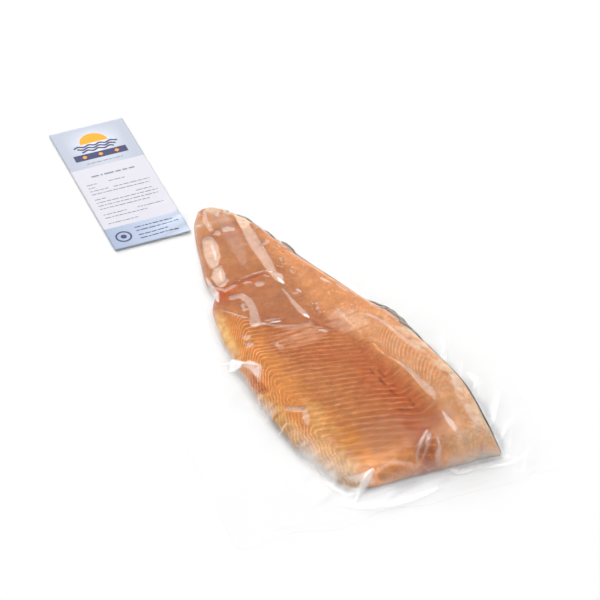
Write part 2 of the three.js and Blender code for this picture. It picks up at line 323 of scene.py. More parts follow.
def stroke(x, y, points):
    """1 on the middle line of a stroke and 0 at its edge; its points are (X, Y, half width)."""
    inside = np.zeros(np.broadcast(x, y).shape)
    for (x0, y0, w0), (x1, y1, w1) in zip(points, points[1:]):
        dx, dy = x1 - x0, y1 - y0
        t = np.clip(((x - x0) * dx + (y - y0) * dy) / (dx * dx + dy * dy), 0, 1)
        away = np.hypot(x - x0 - t * dx, y - y0 - t * dy)
        inside = np.maximum(inside, 1 - away / (w0 + t * (w1 - w0)))
    return inside


def strongest(x, y, strokes, soft):
    """The strongest of some strokes at each place, from pairs of a strength and a stroke's points."""
    most = np.zeros(np.broadcast(x, y).shape)
    for strength, points in strokes:
        most = np.maximum(most, strength * ease(stroke(x, y, points), 0, soft))
    return most


def patch(x, y, middle_x, middle_y, reach_x, reach_y):
    """1 in the middle of an oval patch, falling to nothing round it."""
    return bell(x, middle_x, reach_x) * bell(y, middle_y, reach_y)


def facet(x, y, corners):
    """How far inside a flat facet with the given corners, in anticlockwise order, a place lies."""
    inside = np.full(np.broadcast(x, y).shape, np.inf)
    for (x0, y0), (x1, y1) in zip(corners, corners[1:] + corners[:1]):
        dx, dy = x1 - x0, y1 - y0
        inside = np.minimum(inside, (dx * (y - y0) - dy * (x - x0)) / np.hypot(dx, dy))
    return inside


def belly_edge(x):
    """Y of the belly edge: ragged along the flap, with the cut of the vent near the tail."""
    ragged = 0.8 * noise(x, 0, 6, 11) + 0.5 * noise(x, 0, 2.4, 12)
    notch = NOTCH_DEPTH * bell(x, NOTCH_X, NOTCH_REACH)
    return through(BELLY_EDGE, x) + notch + ragged * ease(x, 50, 90)


def back_roll(x):
    """Radius of the back edge, which is sharper at the thin tail."""
    return TAIL_BACK_ROLL + (BACK_ROLL - TAIL_BACK_ROLL) * ease(x, *ROLL_GROWS)


def back_edge(x):
    """Y of the back edge, which wanders a little and has a nick by the tail."""
    return through(BACK_EDGE, x) + 0.5 * noise(x, 0, 14, 13) - NICK_DEPTH * bell(x, NICK_X, NICK_REACH)


def cut_edge(y):
    """X of the head cut, which the knife left slightly uneven."""
    return CUT_X - 1.2 + 1.1 * noise(y, 0, 17, 14) + 0.4 * noise(y, 0, 6, 15)


def sliver(x):
    """How far the skin stands out past the back edge of the flesh."""
    out = np.zeros(np.shape(x))
    for start, end, reach in SLIVERS:
        length = end - start
        ragged = 1 + 0.3 * noise(x, start, 2.2, 16) + 0.2 * noise(x, start, 0.9, 17)
        taper = np.clip((x - start) / (0.3 * length), 0, 1) * np.clip((end - x) / (0.5 * length), 0, 1)
        out = np.maximum(out, reach * ragged * taper)
    return out


def shell(x, y, belly, back, to_cut):
    """Top and bottom height of the fillet over the surface, inside the edges that are given."""
    across = np.clip((y - belly) / (back - belly), 0, 1)
    body = through(THICKNESS, x) * through(SECTION, across)
    body = body * roll(x - TAIL_X, TAIL_ROLL) * roll(to_cut, CUT_ROLL)
    sides = roll(y - belly, BELLY_ROLL) * roll(back - y, back_roll(x))
    return body * (UNDER_SHARE + (1 - UNDER_SHARE) * sides), body * UNDER_SHARE * (1 - sides)


def segment_count(x, y):
    """Muscle segments counted from the vent; each whole number is one line of the flesh."""
    pin, seam = through(PIN_LINE, x), through(LOIN_SEAM, x)
    into_hook = HOOK_WIDTH - (y - belly_edge(x))
    turning = into_hook ** 2 / (2 * HOOK_ROUND)
    hook = np.where(into_hook < HOOK_ROUND, turning, into_hook - HOOK_ROUND / 2)
    hook = HOOK_SWEEP * np.where(into_hook > 0, hook, 0)
    line = x - BELLY_SWEEP * np.minimum(y - pin, 0) - hook
    line = line + MIDDLE_SWEEP * np.clip(y - pin, 0, seam - pin)
    past = np.maximum(y - seam, 0)
    line = line + LOIN_SWEEP * past + ARC_SWEEP * ARC_WIDTH * (1 - np.exp(-past / ARC_WIDTH))
    line = line + 0.9 * noise(x, y, 15, 21) + 0.5 * noise(x, y, 5, 22) + 0.22 * noise(x, y, 2, 23)
    return np.log(np.maximum(1 + SEGMENT_GROWTH * line / SEGMENT_PITCH, 0.05)) / SEGMENT_GROWTH


class Flesh:
    """Places on the flesh, as grids of X and Y, and what each part of it looks like there.

    Each ease holds the two places or distances, in millimetres, between which a change comes in or
    dies out, and each noise the size of its patches. The factors are shares of the full look.
    """

    def __init__(self, x, y):
        self.x, self.y = x, y
        self.from_belly, self.from_back = y - belly_edge(x), back_edge(x) - y
        self.pin, self.seam = through(PIN_LINE, x), through(LOIN_SEAM, x)
        # The belly's side of the pin bones, the loin, and the distance from the cut with a wavy front
        self.in_belly = ease(self.pin - y, -1, 2)
        self.in_loin = ease(y - self.seam, -0.5, 1.5) * ease(self.from_back, 5, 10) * ease(x, 46, 62)
        self.to_cut = cut_edge(y) - x + 4 * noise(x, y, 9, 47)

    def belly_strip(self):
        """The smooth strip of fat along the belly edge behind the vent, which has no lines."""
        wavy = self.from_belly + 0.6 * noise(self.x, self.y, 4, 58)
        return ease(self.x, 8, 26) * ease(self.x, 66, 50) * ease(wavy, 8, 3)

    def lines(self):
        """How clear the lines between the muscle segments are."""
        x, y = self.x, self.y
        bare = ease(x - through(MEMBRANE_END, y), -1.5, 1.5)
        bare = np.maximum(bare, 0.8 * ease(x, 8, 18) * ease(self.from_belly, 15, 9))
        patchy = 0.68 + 0.32 * noise(x, y, 11, 30)
        below = self.in_belly * bare * (1 - 0.35 * ease(x, 150, 182)) * patchy
        below = below * (0.8 + 0.6 * ease(self.from_belly, 24, 12))
        arcs = self.in_loin * ease(y - self.seam, 19, 12) * (1 - 0.6 * ease(x, 122, 150))
        arcs = arcs * ease(noise(x, y, 13, 40), -0.8, 0.2)
        between = (1 - self.in_belly) * ease(self.seam - y, -1, 1) * ease(x, 66, 80)
        between = between * ease(noise(x, y, 6, 57), -0.3, 0.3)
        return np.maximum.reduce([below, 0.85 * arcs, 0.4 * between]) * (1 - self.belly_strip())

    def red(self):
        """The dark red muscle along the pin bones and round the vent."""
        x, y = self.x, self.y
        band = bell(y, self.pin - 2, np.where(y > self.pin - 2, 11, 15))
        red = ease(x, 70, 112) * (1 - 0.35 * ease(x, 138, 158)) * band * (1 - 0.8 * ease(x, 178, 192))
        by_cut = 0.85 * ease(stroke(x, y, RED_BY_CUT), 0, 0.8)
        below = 0.35 * ease(x, 20, 60) * bell(y, self.pin - 16, 16)
        patches = [share * patch(x, y, *oval) for share, *oval in RED_PATCHES]
        return np.maximum.reduce([red, by_cut, below, *patches])

    def blood(self):
        """Broken streaks along the pin bones, and the single spots."""
        x, y = self.x, self.y
        broken = ease(noise(x, y, 5, 32), -0.15, 0.5)
        streak = bell(y, self.pin + 0.7 * noise(x, y, 9, 31), 0.8) * bell(x, 126, 26) * broken
        return np.maximum(streak, strongest(x, y, BLOOD, 0.6))

    def fat(self):
        """Fat along the belly edge and among the muscle of the belly."""
        x, y = self.x, self.y
        ragged = 0.85 * ease(x, 62, 96) * ease(self.from_belly + 2.4 * noise(x, y, 5, 33), 9, 2)
        inside = 0.65 * ease(stroke(x, y, FAT_IN_BELLY), 0, 0.7) * ease(noise(x, y, 7, 64), -0.6, 0.3)
        return np.maximum.reduce([self.belly_strip(), ragged, inside])

    def pale(self):
        """The thin pale edges: belly tip, tail, back, head cut, loin and folds of the tail half. By the head
        cut's back corner the paleness is partly the thin flesh's own and partly painted light, where the
        round end turns from the key light.
        """
        x, y = self.x, self.y
        tip = 0.95 * ease(x, 122, 170) * ease(self.from_belly + 3 * noise(x, y, 9, 34), 22, 5)
        tail = ease(x, -60, -78) * (0.3 + 0.35 * noise(x, y, 6, 35))
        tail = np.maximum(tail, 0.9 * ease(stroke(x, y, TAIL_PALE), 0.1, 0.6))
        back = 0.05 * ease(x, 44, 60) * ease(x, 126, 112)
        back = back * bell(self.from_back + 1.5 * noise(x, 0, 9, 37), 7, 3.5)
        head_back = 0.35 * ease(x, 110, 150) * ease(self.from_back + noise(x, y, 8, 36), 17, 8)
        # Partly painted light: the cut's back corner is turned from the key light and is paled to make up
        # for it
        at_cut = 0.7 * ease(self.to_cut, 26, 4) * ease(y, 28, 50)
        on_loin = 0.1 * ease(y - self.seam, -8, 8) * ease(x, 90, 150)
        folds = strongest(x, y, PALE_PARTS, 0.5)
        return np.clip(np.maximum.reduce([tip, tail, back, head_back, at_cut, on_loin, folds]), 0, 1)

    def milky(self):
        """Patches of thin fat by the back, at the belly's tip, at the tail and in the loin."""
        x, y = self.x, self.y
        at_back = ease(noise(x, y, 6, 55) + 0.5 * noise(x, y, 2.3, 56), -0.15, 0.15) * ease(x, 62, 84)
        at_back = at_back * ease(self.from_back + 2 * noise(x, y, 8, 59), 16, 9)
        at_tip = ease(x, 158, 182) * ease(self.from_belly + 3 * noise(x, y, 7, 60), 17, 4)
        at_tail = ease(stroke(x, y, TAIL_MILKY), 0.05, 0.5) * ease(noise(x, 2 * y, 5, 63), -0.5, 0.1)
        mottled = ease(noise(x, 1.4 * y, 4, 65) + 0.5 * noise(x, y, 1.6, 67), 0, 0.6)
        return np.maximum.reduce([at_back, 0.9 * at_tip, at_tail, 0.25 * self.in_loin * mottled])

    def dark(self):
        """The darker strip of the belly flap, and brown gaps between the segments by the back."""
        x, y = self.x, self.y
        gaps = 0.45 * self.in_loin * ease(noise(x, 1.3 * y, 3.5, 66), 0.2, 0.6)
        return np.maximum(ease(stroke(x, y, FLAP_STRIP), 0, 0.5), gaps * bell(self.from_back, 11, 5))

    def light(self):
        """Painted light towards the head cut, where the round end turns from the key light, and flesh that
        is simply lighter between pin bones and back of the tail half.
        """
        x, y = self.x, self.y
        # Painted light: the end that slopes away from the key would render dark, so its colour is lightened
        by_cut = 0.95 * ease(self.to_cut, 25, 1) * (1 - 0.6 * bell(y, 27, 9))
        dorsal = 0.2 * ease(y - self.pin, 3, 12) * ease(x, 78, 56) * ease(x, -70, -30)
        return np.maximum(by_cut, dorsal)

    def dashes(self):
        """Short pieces of line above the pin bones of the tail half and in the loin."""
        x, y = self.x, self.y
        tail_half = 0.8 * ease(y - self.pin, 1, 7) * ease(x, -50, -20) * ease(x, 84, 66)
        tail_half = tail_half * ease(self.from_back, 2, 6) * ease(noise(x, y, 12, 62), -0.2, 0.4)
        return tail_half + 0.3 * self.in_loin

    def seam_line(self):
        """The broken pale line of the seam where the loin begins."""
        x, y = self.x, self.y
        line = bell(y, self.seam + 0.6 * noise(x, 0, 7, 48), 0.45) * ease(x, 42, 60) * ease(x, 150, 128)
        return line * ease(noise(x, y, 4, 49), -0.3, 0.2)

    def fields(self):
        """Every field of the flesh by the name that its material reads."""
        x, y = self.x, self.y
        return {
            "segments": segment_count(x, y) * np.where(y > self.seam, LOIN_CROWD, 1),
            "lines": self.lines(),
            "seam": self.seam_line(),
            "milky": self.milky(),
            "flap": self.dark(),
            "lens": ease(stroke(x, y, CUT_LENS), 0, 0.6),
            "red": self.red(),
            "streak": self.blood(),
            "fat": self.fat(),
            "pale": self.pale(),
            # The membrane over the tail half: partly its own duller colour, partly painted shade against the
            # key light that falls more fully there
            "sheath": ease(through(MEMBRANE_END, y) - x, -6, 6) * (0.8 + 0.2 * noise(x, y, 12, 39)),
            "loin": ease(y - self.seam, -9, 7) * ease(x, 30, 80),
            # Painted light by the head cut, and lighter flesh by the back of the tail half
            "light": self.light(),
            # Painted glints: where pale specks stand in for the film's small highlights over the dorsal tail
            # half
            "flecks": 0.28 + 0.9 * ease(y - self.pin, 2, 8) * ease(x, -60, -35) * ease(x, 75, 50),
            "dashes": self.dashes(),
            "warm": ease(x, 10, 40) * ease(self.from_belly + 3 * noise(x, y, 9, 38) - 0.1 * x, 22, 8),
        }


def flesh_relief(x, y, fields):
    """The fine relief of the flesh: segments that stand up between their lines, seams and hollows."""
    pin, seam = through(PIN_LINE, x), through(LOIN_SEAM, x)
    from_line = np.abs(fields["segments"] - np.round(fields["segments"]))
    relief = -0.035 * fields["lines"] * bell(from_line, 0, 0.16)
    relief = relief - 0.14 * bell(y, pin + 1, 3) * ease(x, 60, 85)
    relief = relief - 0.12 * bell(y, seam, 2.5) * ease(x, 50, 85)
    relief = relief + 0.45 * ease(through(MEMBRANE_END, y) - x, -0.8, 0.8) * ease(pin - y, 0, 4)
    relief = relief - 0.5 * ease(stroke(x, y, VENT_FOLD), 0, 0.8)
    for depth, points in HOLLOWS:
        relief = relief - depth * ease(stroke(x, y, points), 0, 0.62)
    dents = 0.6 * ease(noise(x, y, 8, 43) + 0.25 * noise(x, y, 2.5, 44), 0.74, 0.84) * ease(x, 75, 45)
    specks = ease(noise(x, y, 1.9, 45), 0.55, 0.8) * ease(noise(x, y, 24, 46) + 0.4, 0.1, 0.6)
    specks = 0.5 * specks * ease(y - pin, 0, 8) * ease(x, 70, 50)
    waves = 0.35 * noise(x, y, 19, 41) + 0.14 * noise(x, y, 7, 42)
    return relief - dents - specks + waves


def relief_room(x, y, to_cut):
    """1 inside the fillet, 0 at its edges, where the relief has to die out."""
    sides = roll(y - belly_edge(x), 3) * roll(back_edge(x) - y, 2 + 2 * ease(x, -50, -30))
    return sides * roll(to_cut, 5) * roll(x - TAIL_X, 5)


def flesh_top(x, y, to_cut):
    """Height of the flesh over the surface, and the same without its relief."""
    top, _ = shell(x, y, belly_edge(x), back_edge(x), to_cut)
    relief = flesh_relief(x, y, Flesh(x, y).fields()) * relief_room(x, y, to_cut)
    return FLESH_UNDER + top + relief, FLESH_UNDER + top


def inside_flesh(x, y, to_cut):
    """How far inside the outline of the flesh a place lies, less than 0 outside it."""
    return np.minimum.reduce([y - belly_edge(x), back_edge(x) - y, to_cut, x - TAIL_X])


def wave(along, pitch):
    """0 to 1 and back, as a place runs along a row of waves."""
    return 0.5 + 0.5 * np.sin(2 * np.pi * along / pitch)


def hem_lift(x, y):
    """How far the hem stands clear of the surface."""
    pleats, swells, ripples = BACK_WAVES, BELLY_WAVES, CUT_WAVES
    back_out = np.clip((y - through(BACK_EDGE, x) - pleats["flat_to"]) / pleats["width"], 0, 1)
    back = pleats["height"] * ease(x, *pleats["grows"]) * np.sin(np.pi * back_out) ** 2
    back = back * wave(x + pleats["slant"] * y, pleats["pitch"])
    belly_out = np.clip((through(BELLY_EDGE, x) - y - swells["flat_to"]) / swells["width"], 0, 1)
    belly = swells["height"] * ease(x, *swells["grows"]) * belly_out
    belly = belly * wave(x + swells["slant"] * y, swells["pitch"])
    cut = ripples["height"] * ease(x, *ripples["grows"]) * wave(y + ripples["shift"], ripples["pitch"])
    return np.maximum.reduce([back, belly, cut])


# The film is worked out on an even net and read from it by every piece that lies on or under it

def fold_crest(x, y, points):
    """Height of a fold's crest along its stroke of (X, Y, half width, Z), and 0 beside it."""
    crest = np.zeros(x.shape)
    for (x0, y0, w0, z0), (x1, y1, w1, z1) in zip(points, points[1:]):
        dx, dy = x1 - x0, y1 - y0
        t = np.clip(((x - x0) * dx + (y - y0) * dy) / (dx * dx + dy * dy), 0, 1)
        # Never so thin that it slips between the points of the net
        thick = np.maximum(w0 + t * (w1 - w0), 0.7)
        near = np.hypot(x - x0 - t * dx, y - y0 - t * dy) < thick / 2
        crest = np.maximum(crest, np.where(near, z0 + t * (z1 - z0), 0))
    return crest


def film_obstacle(x, y):
    """The lowest that the upper film can lie: over the flesh, the skin, the hem and its own creases."""
    to_cut = cut_edge(y) - x
    belly, back = belly_edge(x), back_edge(x)
    inside = (y > belly) & (y < back) & (x > TAIL_X) & (to_cut > 0)
    top, plain_top = flesh_top(x, y, to_cut)
    flesh = np.where(inside, top + FILM_GAP, 0)
    out = sliver(x)
    skin, _ = shell(x, y, belly, back + out, to_cut)
    on_skin = (y > back - SLIVER_IN) & (y < back + out) & (out > LEAST_SLIVER)
    flesh = np.where(on_skin, np.maximum(flesh, skin + FLESH_UNDER + FILM_GAP), flesh)
    crease = np.zeros(x.shape)
    for height, points in CREASES:
        crease = np.maximum(crease, height * np.clip(stroke(x, y, points), 0, 1))
    folds = np.where(inside & (crease > 0), plain_top + FILM_GAP + crease, 0)
    for points in FOLDS:
        folds = np.maximum(folds, fold_crest(x, y, points))
    to_rim = np.minimum(POUCH_X - np.abs(x), POUCH_Y - np.abs(y))
    hem = WELD_TOP + (HEM_TOP - WELD_TOP) * ease(to_rim, *WELD_FROM_RIM)
    outside = -inside_flesh(x, y, to_cut)
    along = x + 0.5 * y + 3 * noise(x, y, 22, 51)
    pleats = PLEATS["height"] * np.maximum(noise(along, 0.12 * y, PLEATS["size"], 52), 0)
    pleats = pleats * ease(outside, *PLEATS["rise"]) * ease(outside, *PLEATS["die"])
    hem = hem + pleats * ease(x, *PLEATS["grows"]) + hem_lift(x, y)
    return np.maximum.reduce([flesh, folds, hem])


def pull_at(x, y):
    """How hard the film is pulled down at each place of its net."""
    to_cut = cut_edge(y) - x
    on_flesh = ease(inside_flesh(x, y, to_cut), -1, 3)
    pull = PULL_BESIDE + (PULL_ON_FLESH - PULL_BESIDE) * on_flesh
    pull = pull + (PULL_AT_CUT - pull) * ease(-to_cut, -1, 2) * bell(y, 0, POCKET_HALF_WIDTH)
    pull = pull + (PULL_AT_TENT - pull) * ease(stroke(x, y, TENT), 0, 0.6)
    pull = pull + PULL_IN_DIP * patch(x, y, *DIP)
    flanks = [(PULL_AT_CREASE, [(px, py, width + CREASE_FLANK) for px, py, width in points])
              for _, points in CREASES]
    return np.maximum(pull, strongest(x, y, flanks, 0.3))


def stretch_film():
    """Pulls the film down onto what it wraps, as a skin under tension, and returns its net."""
    columns = np.arange(-POUCH_X, POUCH_X + FILM_STEP / 2, FILM_STEP)
    rows = np.arange(-POUCH_Y, POUCH_Y + FILM_STEP / 2, FILM_STEP)
    x, y = np.meshgrid(columns, rows, indexing="ij")
    under = film_obstacle(x, y)
    film = under.copy()
    drop = pull_at(x, y)[1:-1, 1:-1] * FILM_STEP ** 2
    even = (np.add.outer(np.arange(film.shape[0]), np.arange(film.shape[1])) % 2 == 0)[1:-1, 1:-1]
    # A reach above 1 overshoots, which settles the net in far fewer rounds
    for reach in [1.75] * PULL_ROUNDS + [1.0] * LAST_ROUNDS:
        for half in (even, ~even):
            around = film[2:, 1:-1] + film[:-2, 1:-1] + film[1:-1, 2:] + film[1:-1, :-2]
            settled = film[1:-1, 1:-1] + reach * ((around - drop) / 4 - film[1:-1, 1:-1])
            settled = np.maximum(settled, under[1:-1, 1:-1])
            film[1:-1, 1:-1] = np.where(half, settled, film[1:-1, 1:-1])
    for _ in range(SMOOTH_ROUNDS):
        around = film[2:, 1:-1] + film[:-2, 1:-1] + film[1:-1, 2:] + film[1:-1, :-2]
        film[1:-1, 1:-1] = np.maximum(film[1:-1, 1:-1] / 2 + around / 8, under[1:-1, 1:-1])
    return film


def read_net(net, x, y):
    """The net's value at any place, from its four nearest points."""
    u = np.clip((x + POUCH_X) / FILM_STEP, 0, net.shape[0] - 1.001)
    v = np.clip((y + POUCH_Y) / FILM_STEP, 0, net.shape[1] - 1.001)
    i, j = np.floor(u).astype(int), np.floor(v).astype(int)
    fu, fv = u - i, v - j
    near = net[i, j] * (1 - fu) + net[i + 1, j] * fu
    far = net[i, j + 1] * (1 - fu) + net[i + 1, j + 1] * fu
    return near * (1 - fv) + far * fv


FILM_NET = stretch_film()


# Meshes

def spaced(count, crowd):
    """Shares from 0 to 1, crowded towards both ends by crowd, from 0 for even to 1."""
    even = np.linspace(0, 1, count)
    return (1 - crowd) * even + crowd * (1 - np.cos(np.pi * even)) / 2


def steps(*stretches):
    """Places along an axis, from (start, end, step) stretches that follow each other."""
    places = [np.linspace(a, b, max(2, round((b - a) / step) + 1))[:-1] for a, b, step in stretches]
    return np.append(np.concatenate(places), stretches[-1][1])


def quads_of(index):
    """The four corners of each cell of an index grid, turning anticlockwise seen from above."""
    corners = (index[:-1, :-1], index[1:, :-1], index[1:, 1:], index[:-1, 1:])
    return np.stack([c.ravel() for c in corners], axis=1)


def rim_of(index):
    """The indices round a grid's edge, anticlockwise seen from above."""
    return np.concatenate([index[:, 0], index[-1, 1:], index[-2::-1, -1], index[0, -2:0:-1]])


def solid(name, top, bottom, material, flat=None, fields=None):
    """A closed piece from two grids of points; the cells of bottom inside flat become one face."""
    shape = top.shape[:2]
    count = shape[0] * shape[1]
    above = np.arange(count).reshape(shape)
    below = above + count
    upper, lower = rim_of(above), rim_of(below)
    sides = np.stack([lower, np.roll(lower, -1), np.roll(upper, -1), upper], axis=1)
    faces = [quads_of(above), sides]
    if flat is None:
        faces.append(quads_of(below)[:, ::-1])
    else:
        (i0, i1), (j0, j1) = flat
        middle = below[i0 : i1 + 1]
        around = (below[: i0 + 1], below[i1:], middle[:, : j0 + 1], middle[:, j1:])
        faces += [quads_of(part)[:, ::-1] for part in around if min(part.shape) > 1]
        faces.append(rim_of(middle[:, j0 : j1 + 1])[::-1].reshape(1, -1))
    used = np.unique(np.concatenate([face.ravel() for face in faces]))
    renumber = np.zeros(2 * count, int)
    renumber[used] = np.arange(len(used))
    points = np.concatenate([top.reshape(-1, 3), bottom.reshape(-1, 3)])[used]
    fields = {key: np.tile(grid.ravel(), 2)[used] for key, grid in (fields or {}).items()}
    corners = [corner for face in faces for corner in renumber[face].tolist()]
    return piece(name, points, corners, [material], fields)


def piece(name, points, faces, materials, fields=None, face_material=None):
    """Makes points and faces an object of the part, with its fields as point attributes."""
    mesh = bpy.data.meshes.new(name)
    mesh.from_pydata(points * MM, [], faces)
    for field, values in (fields or {}).items():
        layer = mesh.attributes.new(field, "FLOAT", "POINT")
        layer.data.foreach_set("value", np.ascontiguousarray(values, np.float32))
    for material in materials:
        mesh.materials.append(material)
    if face_material is None:
        mesh.polygons.foreach_set("use_smooth", [True] * len(mesh.polygons))
    else:
        mesh.polygons.foreach_set("material_index", face_material)
    mesh.validate()
    mesh.update()
    made = bpy.data.objects.new(name, mesh)
    bpy.context.scene.collection.objects.link(made)
    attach(made, BODY)
    return made


def grid_points(x, y, z):
    """Three grids of the same size as one grid of points."""
    return np.stack([x, y, z], axis=-1)


# Materials

def srgb(code):
    """An sRGB hex colour as linear red, green, blue and alpha."""
    parts = [int(code[i : i + 2], 16) / 255 for i in (1, 3, 5)]
    return [c / 12.92 if c <= 0.04045 else ((c + 0.055) / 1.055) ** 2.4 for c in parts] + [1]


def add(tree, kind, settings=None, inputs=None, stops=(), out=0):
    """Adds a node with its settings, sets or links its inputs and sets its ramp; returns an output."""
    made = tree.nodes.new(kind)
    for key, value in (settings or {}).items():
        setattr(made, key, value)
    for key, value in (inputs or {}).items():
        if isinstance(value, bpy.types.NodeSocket):
            tree.links.new(value, made.inputs[key])
        else:
            made.inputs[key].default_value = value
    if stops:
        band = made.color_ramp.elements
        while len(band) < len(stops):
            band.new(1)
        for element, (place, value) in zip(band, stops):
            element.position = place
            element.color = (value, value, value, 1) if isinstance(value, (int, float)) else value
    return made.outputs[out] if made.outputs else None


def new_material(name):
    """An empty node material, and its tree."""
    material = bpy.data.materials.new(name)
    material.use_nodes = True
    material.node_tree.nodes.clear()
    return material, material.node_tree


def blotches(tree, size, detail=3.0, stops=()):
    """Smooth blotches about size mm wide, round 0.5 or with their greys set by (place, grey) stops."""
    place = add(tree, "ShaderNodeTexCoord", out="Object")
    smooth = add(tree, "ShaderNodeTexNoise", inputs={
        "Vector": place, "Scale": 1 / (size * MM), "Detail": detail, "Roughness": 0.55})
    return add(tree, "ShaderNodeValToRGB", inputs={"Fac": smooth}, stops=stops) if stops else smooth


def cells(tree, size, randomness, stops):
    """Spots in cells of about size mm, with their greys set by (distance, grey) stops."""
    place = add(tree, "ShaderNodeTexCoord", out="Object")
    away = add(tree, "ShaderNodeTexVoronoi", {"feature": "F1"}, {
        "Vector": place, "Scale": 1 / (size * MM), "Randomness": randomness}, out="Distance")
    return add(tree, "ShaderNodeValToRGB", inputs={"Fac": away}, stops=stops)


def coats(tree, colour, layers):
    """Lays coats over a colour, in order: each has its blend, its colour and the masks that thin it.

    A mask is a number, a pattern or the name of one of the piece's own fields.
    """
    for how, over, *masks in layers:
        share = None
        for mask in masks:
            if isinstance(mask, str):
                mask = add(tree, "ShaderNodeAttribute", {"attribute_name": mask}, out="Fac")
            if share is None:
                share = mask
            else:
                share = add(tree, "ShaderNodeMath", {"operation": "MULTIPLY"}, {0: share, 1: mask})
        settings = {"data_type": "RGBA", "blend_type": how, "clamp_factor": True}
        colour = add(tree, "ShaderNodeMix", settings, {0: share, 6: colour, 7: over}, out=2)
    return colour


def raw_trout(colours):
    """Raw trout flesh, cut with a knife: translucent muscle in thin segments, with fat at its edges.

    The eye sees an orange that glows a little from inside, pale lines of connective tissue between
    the segments, a darker band along the pin bones and yellow fat along the belly. The grain is
    coarser than the real muscle fibres, so that it shows.
    """
    material, tree = new_material("trout_flesh_raw")
    count = add(tree, "ShaderNodeAttribute", {"attribute_name": "segments"}, out="Fac")
    lines = add(tree, "ShaderNodeAttribute", {"attribute_name": "lines"}, out="Fac")
    phase = add(tree, "ShaderNodeMath", {"operation": "FRACT"}, {0: count})
    pale_line = add(tree, "ShaderNodeValToRGB", inputs={"Fac": phase},
                    stops=[(0, 1), (0.06, 0.6), (0.14, 0), (0.89, 0), (0.95, 0.5), (1, 1)])
    dark_side = add(tree, "ShaderNodeValToRGB", inputs={"Fac": phase},
                    stops=[(0, 0), (0.16, 0.2), (0.34, 1), (0.62, 0.7), (0.88, 0)])
    deep = blotches(tree, 26, 4, [(0.38, 0), (0.64, 1)])
    thick = blotches(tree, 11, stops=[(0.3, 0.6), (0.6, 1)])
    fat_edge = blotches(tree, 5, stops=[(0.3, 0.7), (0.6, 1)])
    broken = blotches(tree, 4, stops=[(0.36, 0.25), (0.56, 1)])
    glint_cells = cells(tree, 3, 1.0, [(0.1, 1), (0.24, 0)])
    some = blotches(tree, 9, stops=[(0.42, 0), (0.56, 1)])
    short = blotches(tree, 2.6, 2, [(0.56, 0), (0.64, 1)])
    grain = blotches(tree, 1.8, 4, [(0.32, 0.84), (0.68, 1.1)])
    uneven = blotches(tree, 5, 5, [(0.34, 0.82), (0.66, 1.16)])
    muscle = coats(tree, colours.flesh, [
        ("MIX", colours.flesh_deep, deep),
        ("MIX", colours.loin, "loin"),
        ("MIX", colours.belly, "warm"),
        # Partly the membrane's own colour, partly painted shade on the tail half, which faces the key light
        ("MIX", colours.sheath, "sheath", 0.45),
        # Painted light by the head cut
        ("MIX", colours.light, "light"),
        ("MIX", colours.dark_muscle, "red", thick),
        # Pale edges, and at the head cut's back corner partly painted light
        ("MIX", colours.membrane, "pale"),
        ("MIX", colours.fat, "fat", fat_edge),
        ("MIX", colours.milky, "milky", 0.75),
        ("MIX", colours.belly, "lens", 0.7),
        ("MIX", colours.dark_muscle, "flap", 0.7),
        ("MULTIPLY", colours.line_shade, lines, dark_side, 0.3),
        ("MIX", colours.line, lines, pale_line, broken, 0.7),
        ("MIX", colours.line, "seam", 0.7),
        ("MIX", colours.blood, "streak", 0.85),
        # Painted sheen: the flesh is paled where air lies under the film, in place of the film's reflection
        # there
        ("MIX", colours.dry, "dry", 0.18),
        # Painted glints: pale specks in place of the film's small highlights
        ("MIX", colours.milky, glint_cells, some, "flecks"),
        ("MIX", colours.line, pale_line, short, "dashes"),
        ("MULTIPLY", grain, 0.8),
        ("MULTIPLY", uneven, 0.7),
    ])
    ridges = add(tree, "ShaderNodeMath", {"operation": "MULTIPLY"}, {0: lines, 1: dark_side})
    line_bump = add(tree, "ShaderNodeBump", inputs={
        "Strength": 0.15, "Distance": 0.2 * MM, "Height": ridges})
    grain_bump = add(tree, "ShaderNodeBump", inputs={
        "Strength": 0.25, "Distance": 0.15 * MM, "Height": blotches(tree, 2.2, 4), "Normal": line_bump})
    shader = add(tree, "ShaderNodeBsdfPrincipled", inputs={
        "Base Color": muscle, "Roughness": 0.5, "IOR": 1.38, "Specular IOR Level": 0.15,
        "Normal": grain_bump, "Subsurface Weight": 0.12, "Subsurface Radius": (1.0, 0.35, 0.15),
        "Subsurface Scale": 2 * MM})
    add(tree, "ShaderNodeOutputMaterial", inputs={"Surface": shader})
    return material


def trout_skin(colours):
    """Trout skin as it grew: fine scales under a clear slime coat, silver below and olive above.

    The eye sees a soft metallic sheen broken by the scales, a faint rose band along the flank and
    small dark spots towards the back. The scales are about 1.3 mm wide, as on a fish of 1 kg.
    """
    material, tree = new_material("trout_skin_scaled")
    girth = add(tree, "ShaderNodeAttribute", {"attribute_name": "girth"}, out="Fac")
    shifted = add(tree, "ShaderNodeMath", {"operation": "MULTIPLY_ADD"}, {
        0: blotches(tree, 14), 1: 0.12, 2: girth})
    hue = add(tree, "ShaderNodeValToRGB", inputs={"Fac": shifted}, stops=[
        (0.1, colours.belly), (0.42, colours.flank), (0.58, colours.rose), (0.72, colours.flank),
        (0.9, colours.back), (1, colours.back_dark)])
    scales = cells(tree, 1.3, 0.55, [(0.25, 1), (0.62, 0.55)])
    spots = cells(tree, 2.6, 1.0, [(0.1, 1), (0.26, 0)])
    above = add(tree, "ShaderNodeValToRGB", inputs={"Fac": girth}, stops=[(0.62, 0), (0.88, 1)])
    hue = coats(tree, hue, [("MULTIPLY", scales, 0.35), ("MIX", colours.spot, spots, above, 0.6)])
    bump = add(tree, "ShaderNodeBump", inputs={
        "Strength": 0.4, "Distance": 0.15 * MM, "Height": scales})
    shader = add(tree, "ShaderNodeBsdfPrincipled", inputs={
        "Base Color": hue, "Metallic": 0.05, "Roughness": 0.55, "IOR": 1.4, "Normal": bump})
    add(tree, "ShaderNodeOutputMaterial", inputs={"Surface": shader})
    return material


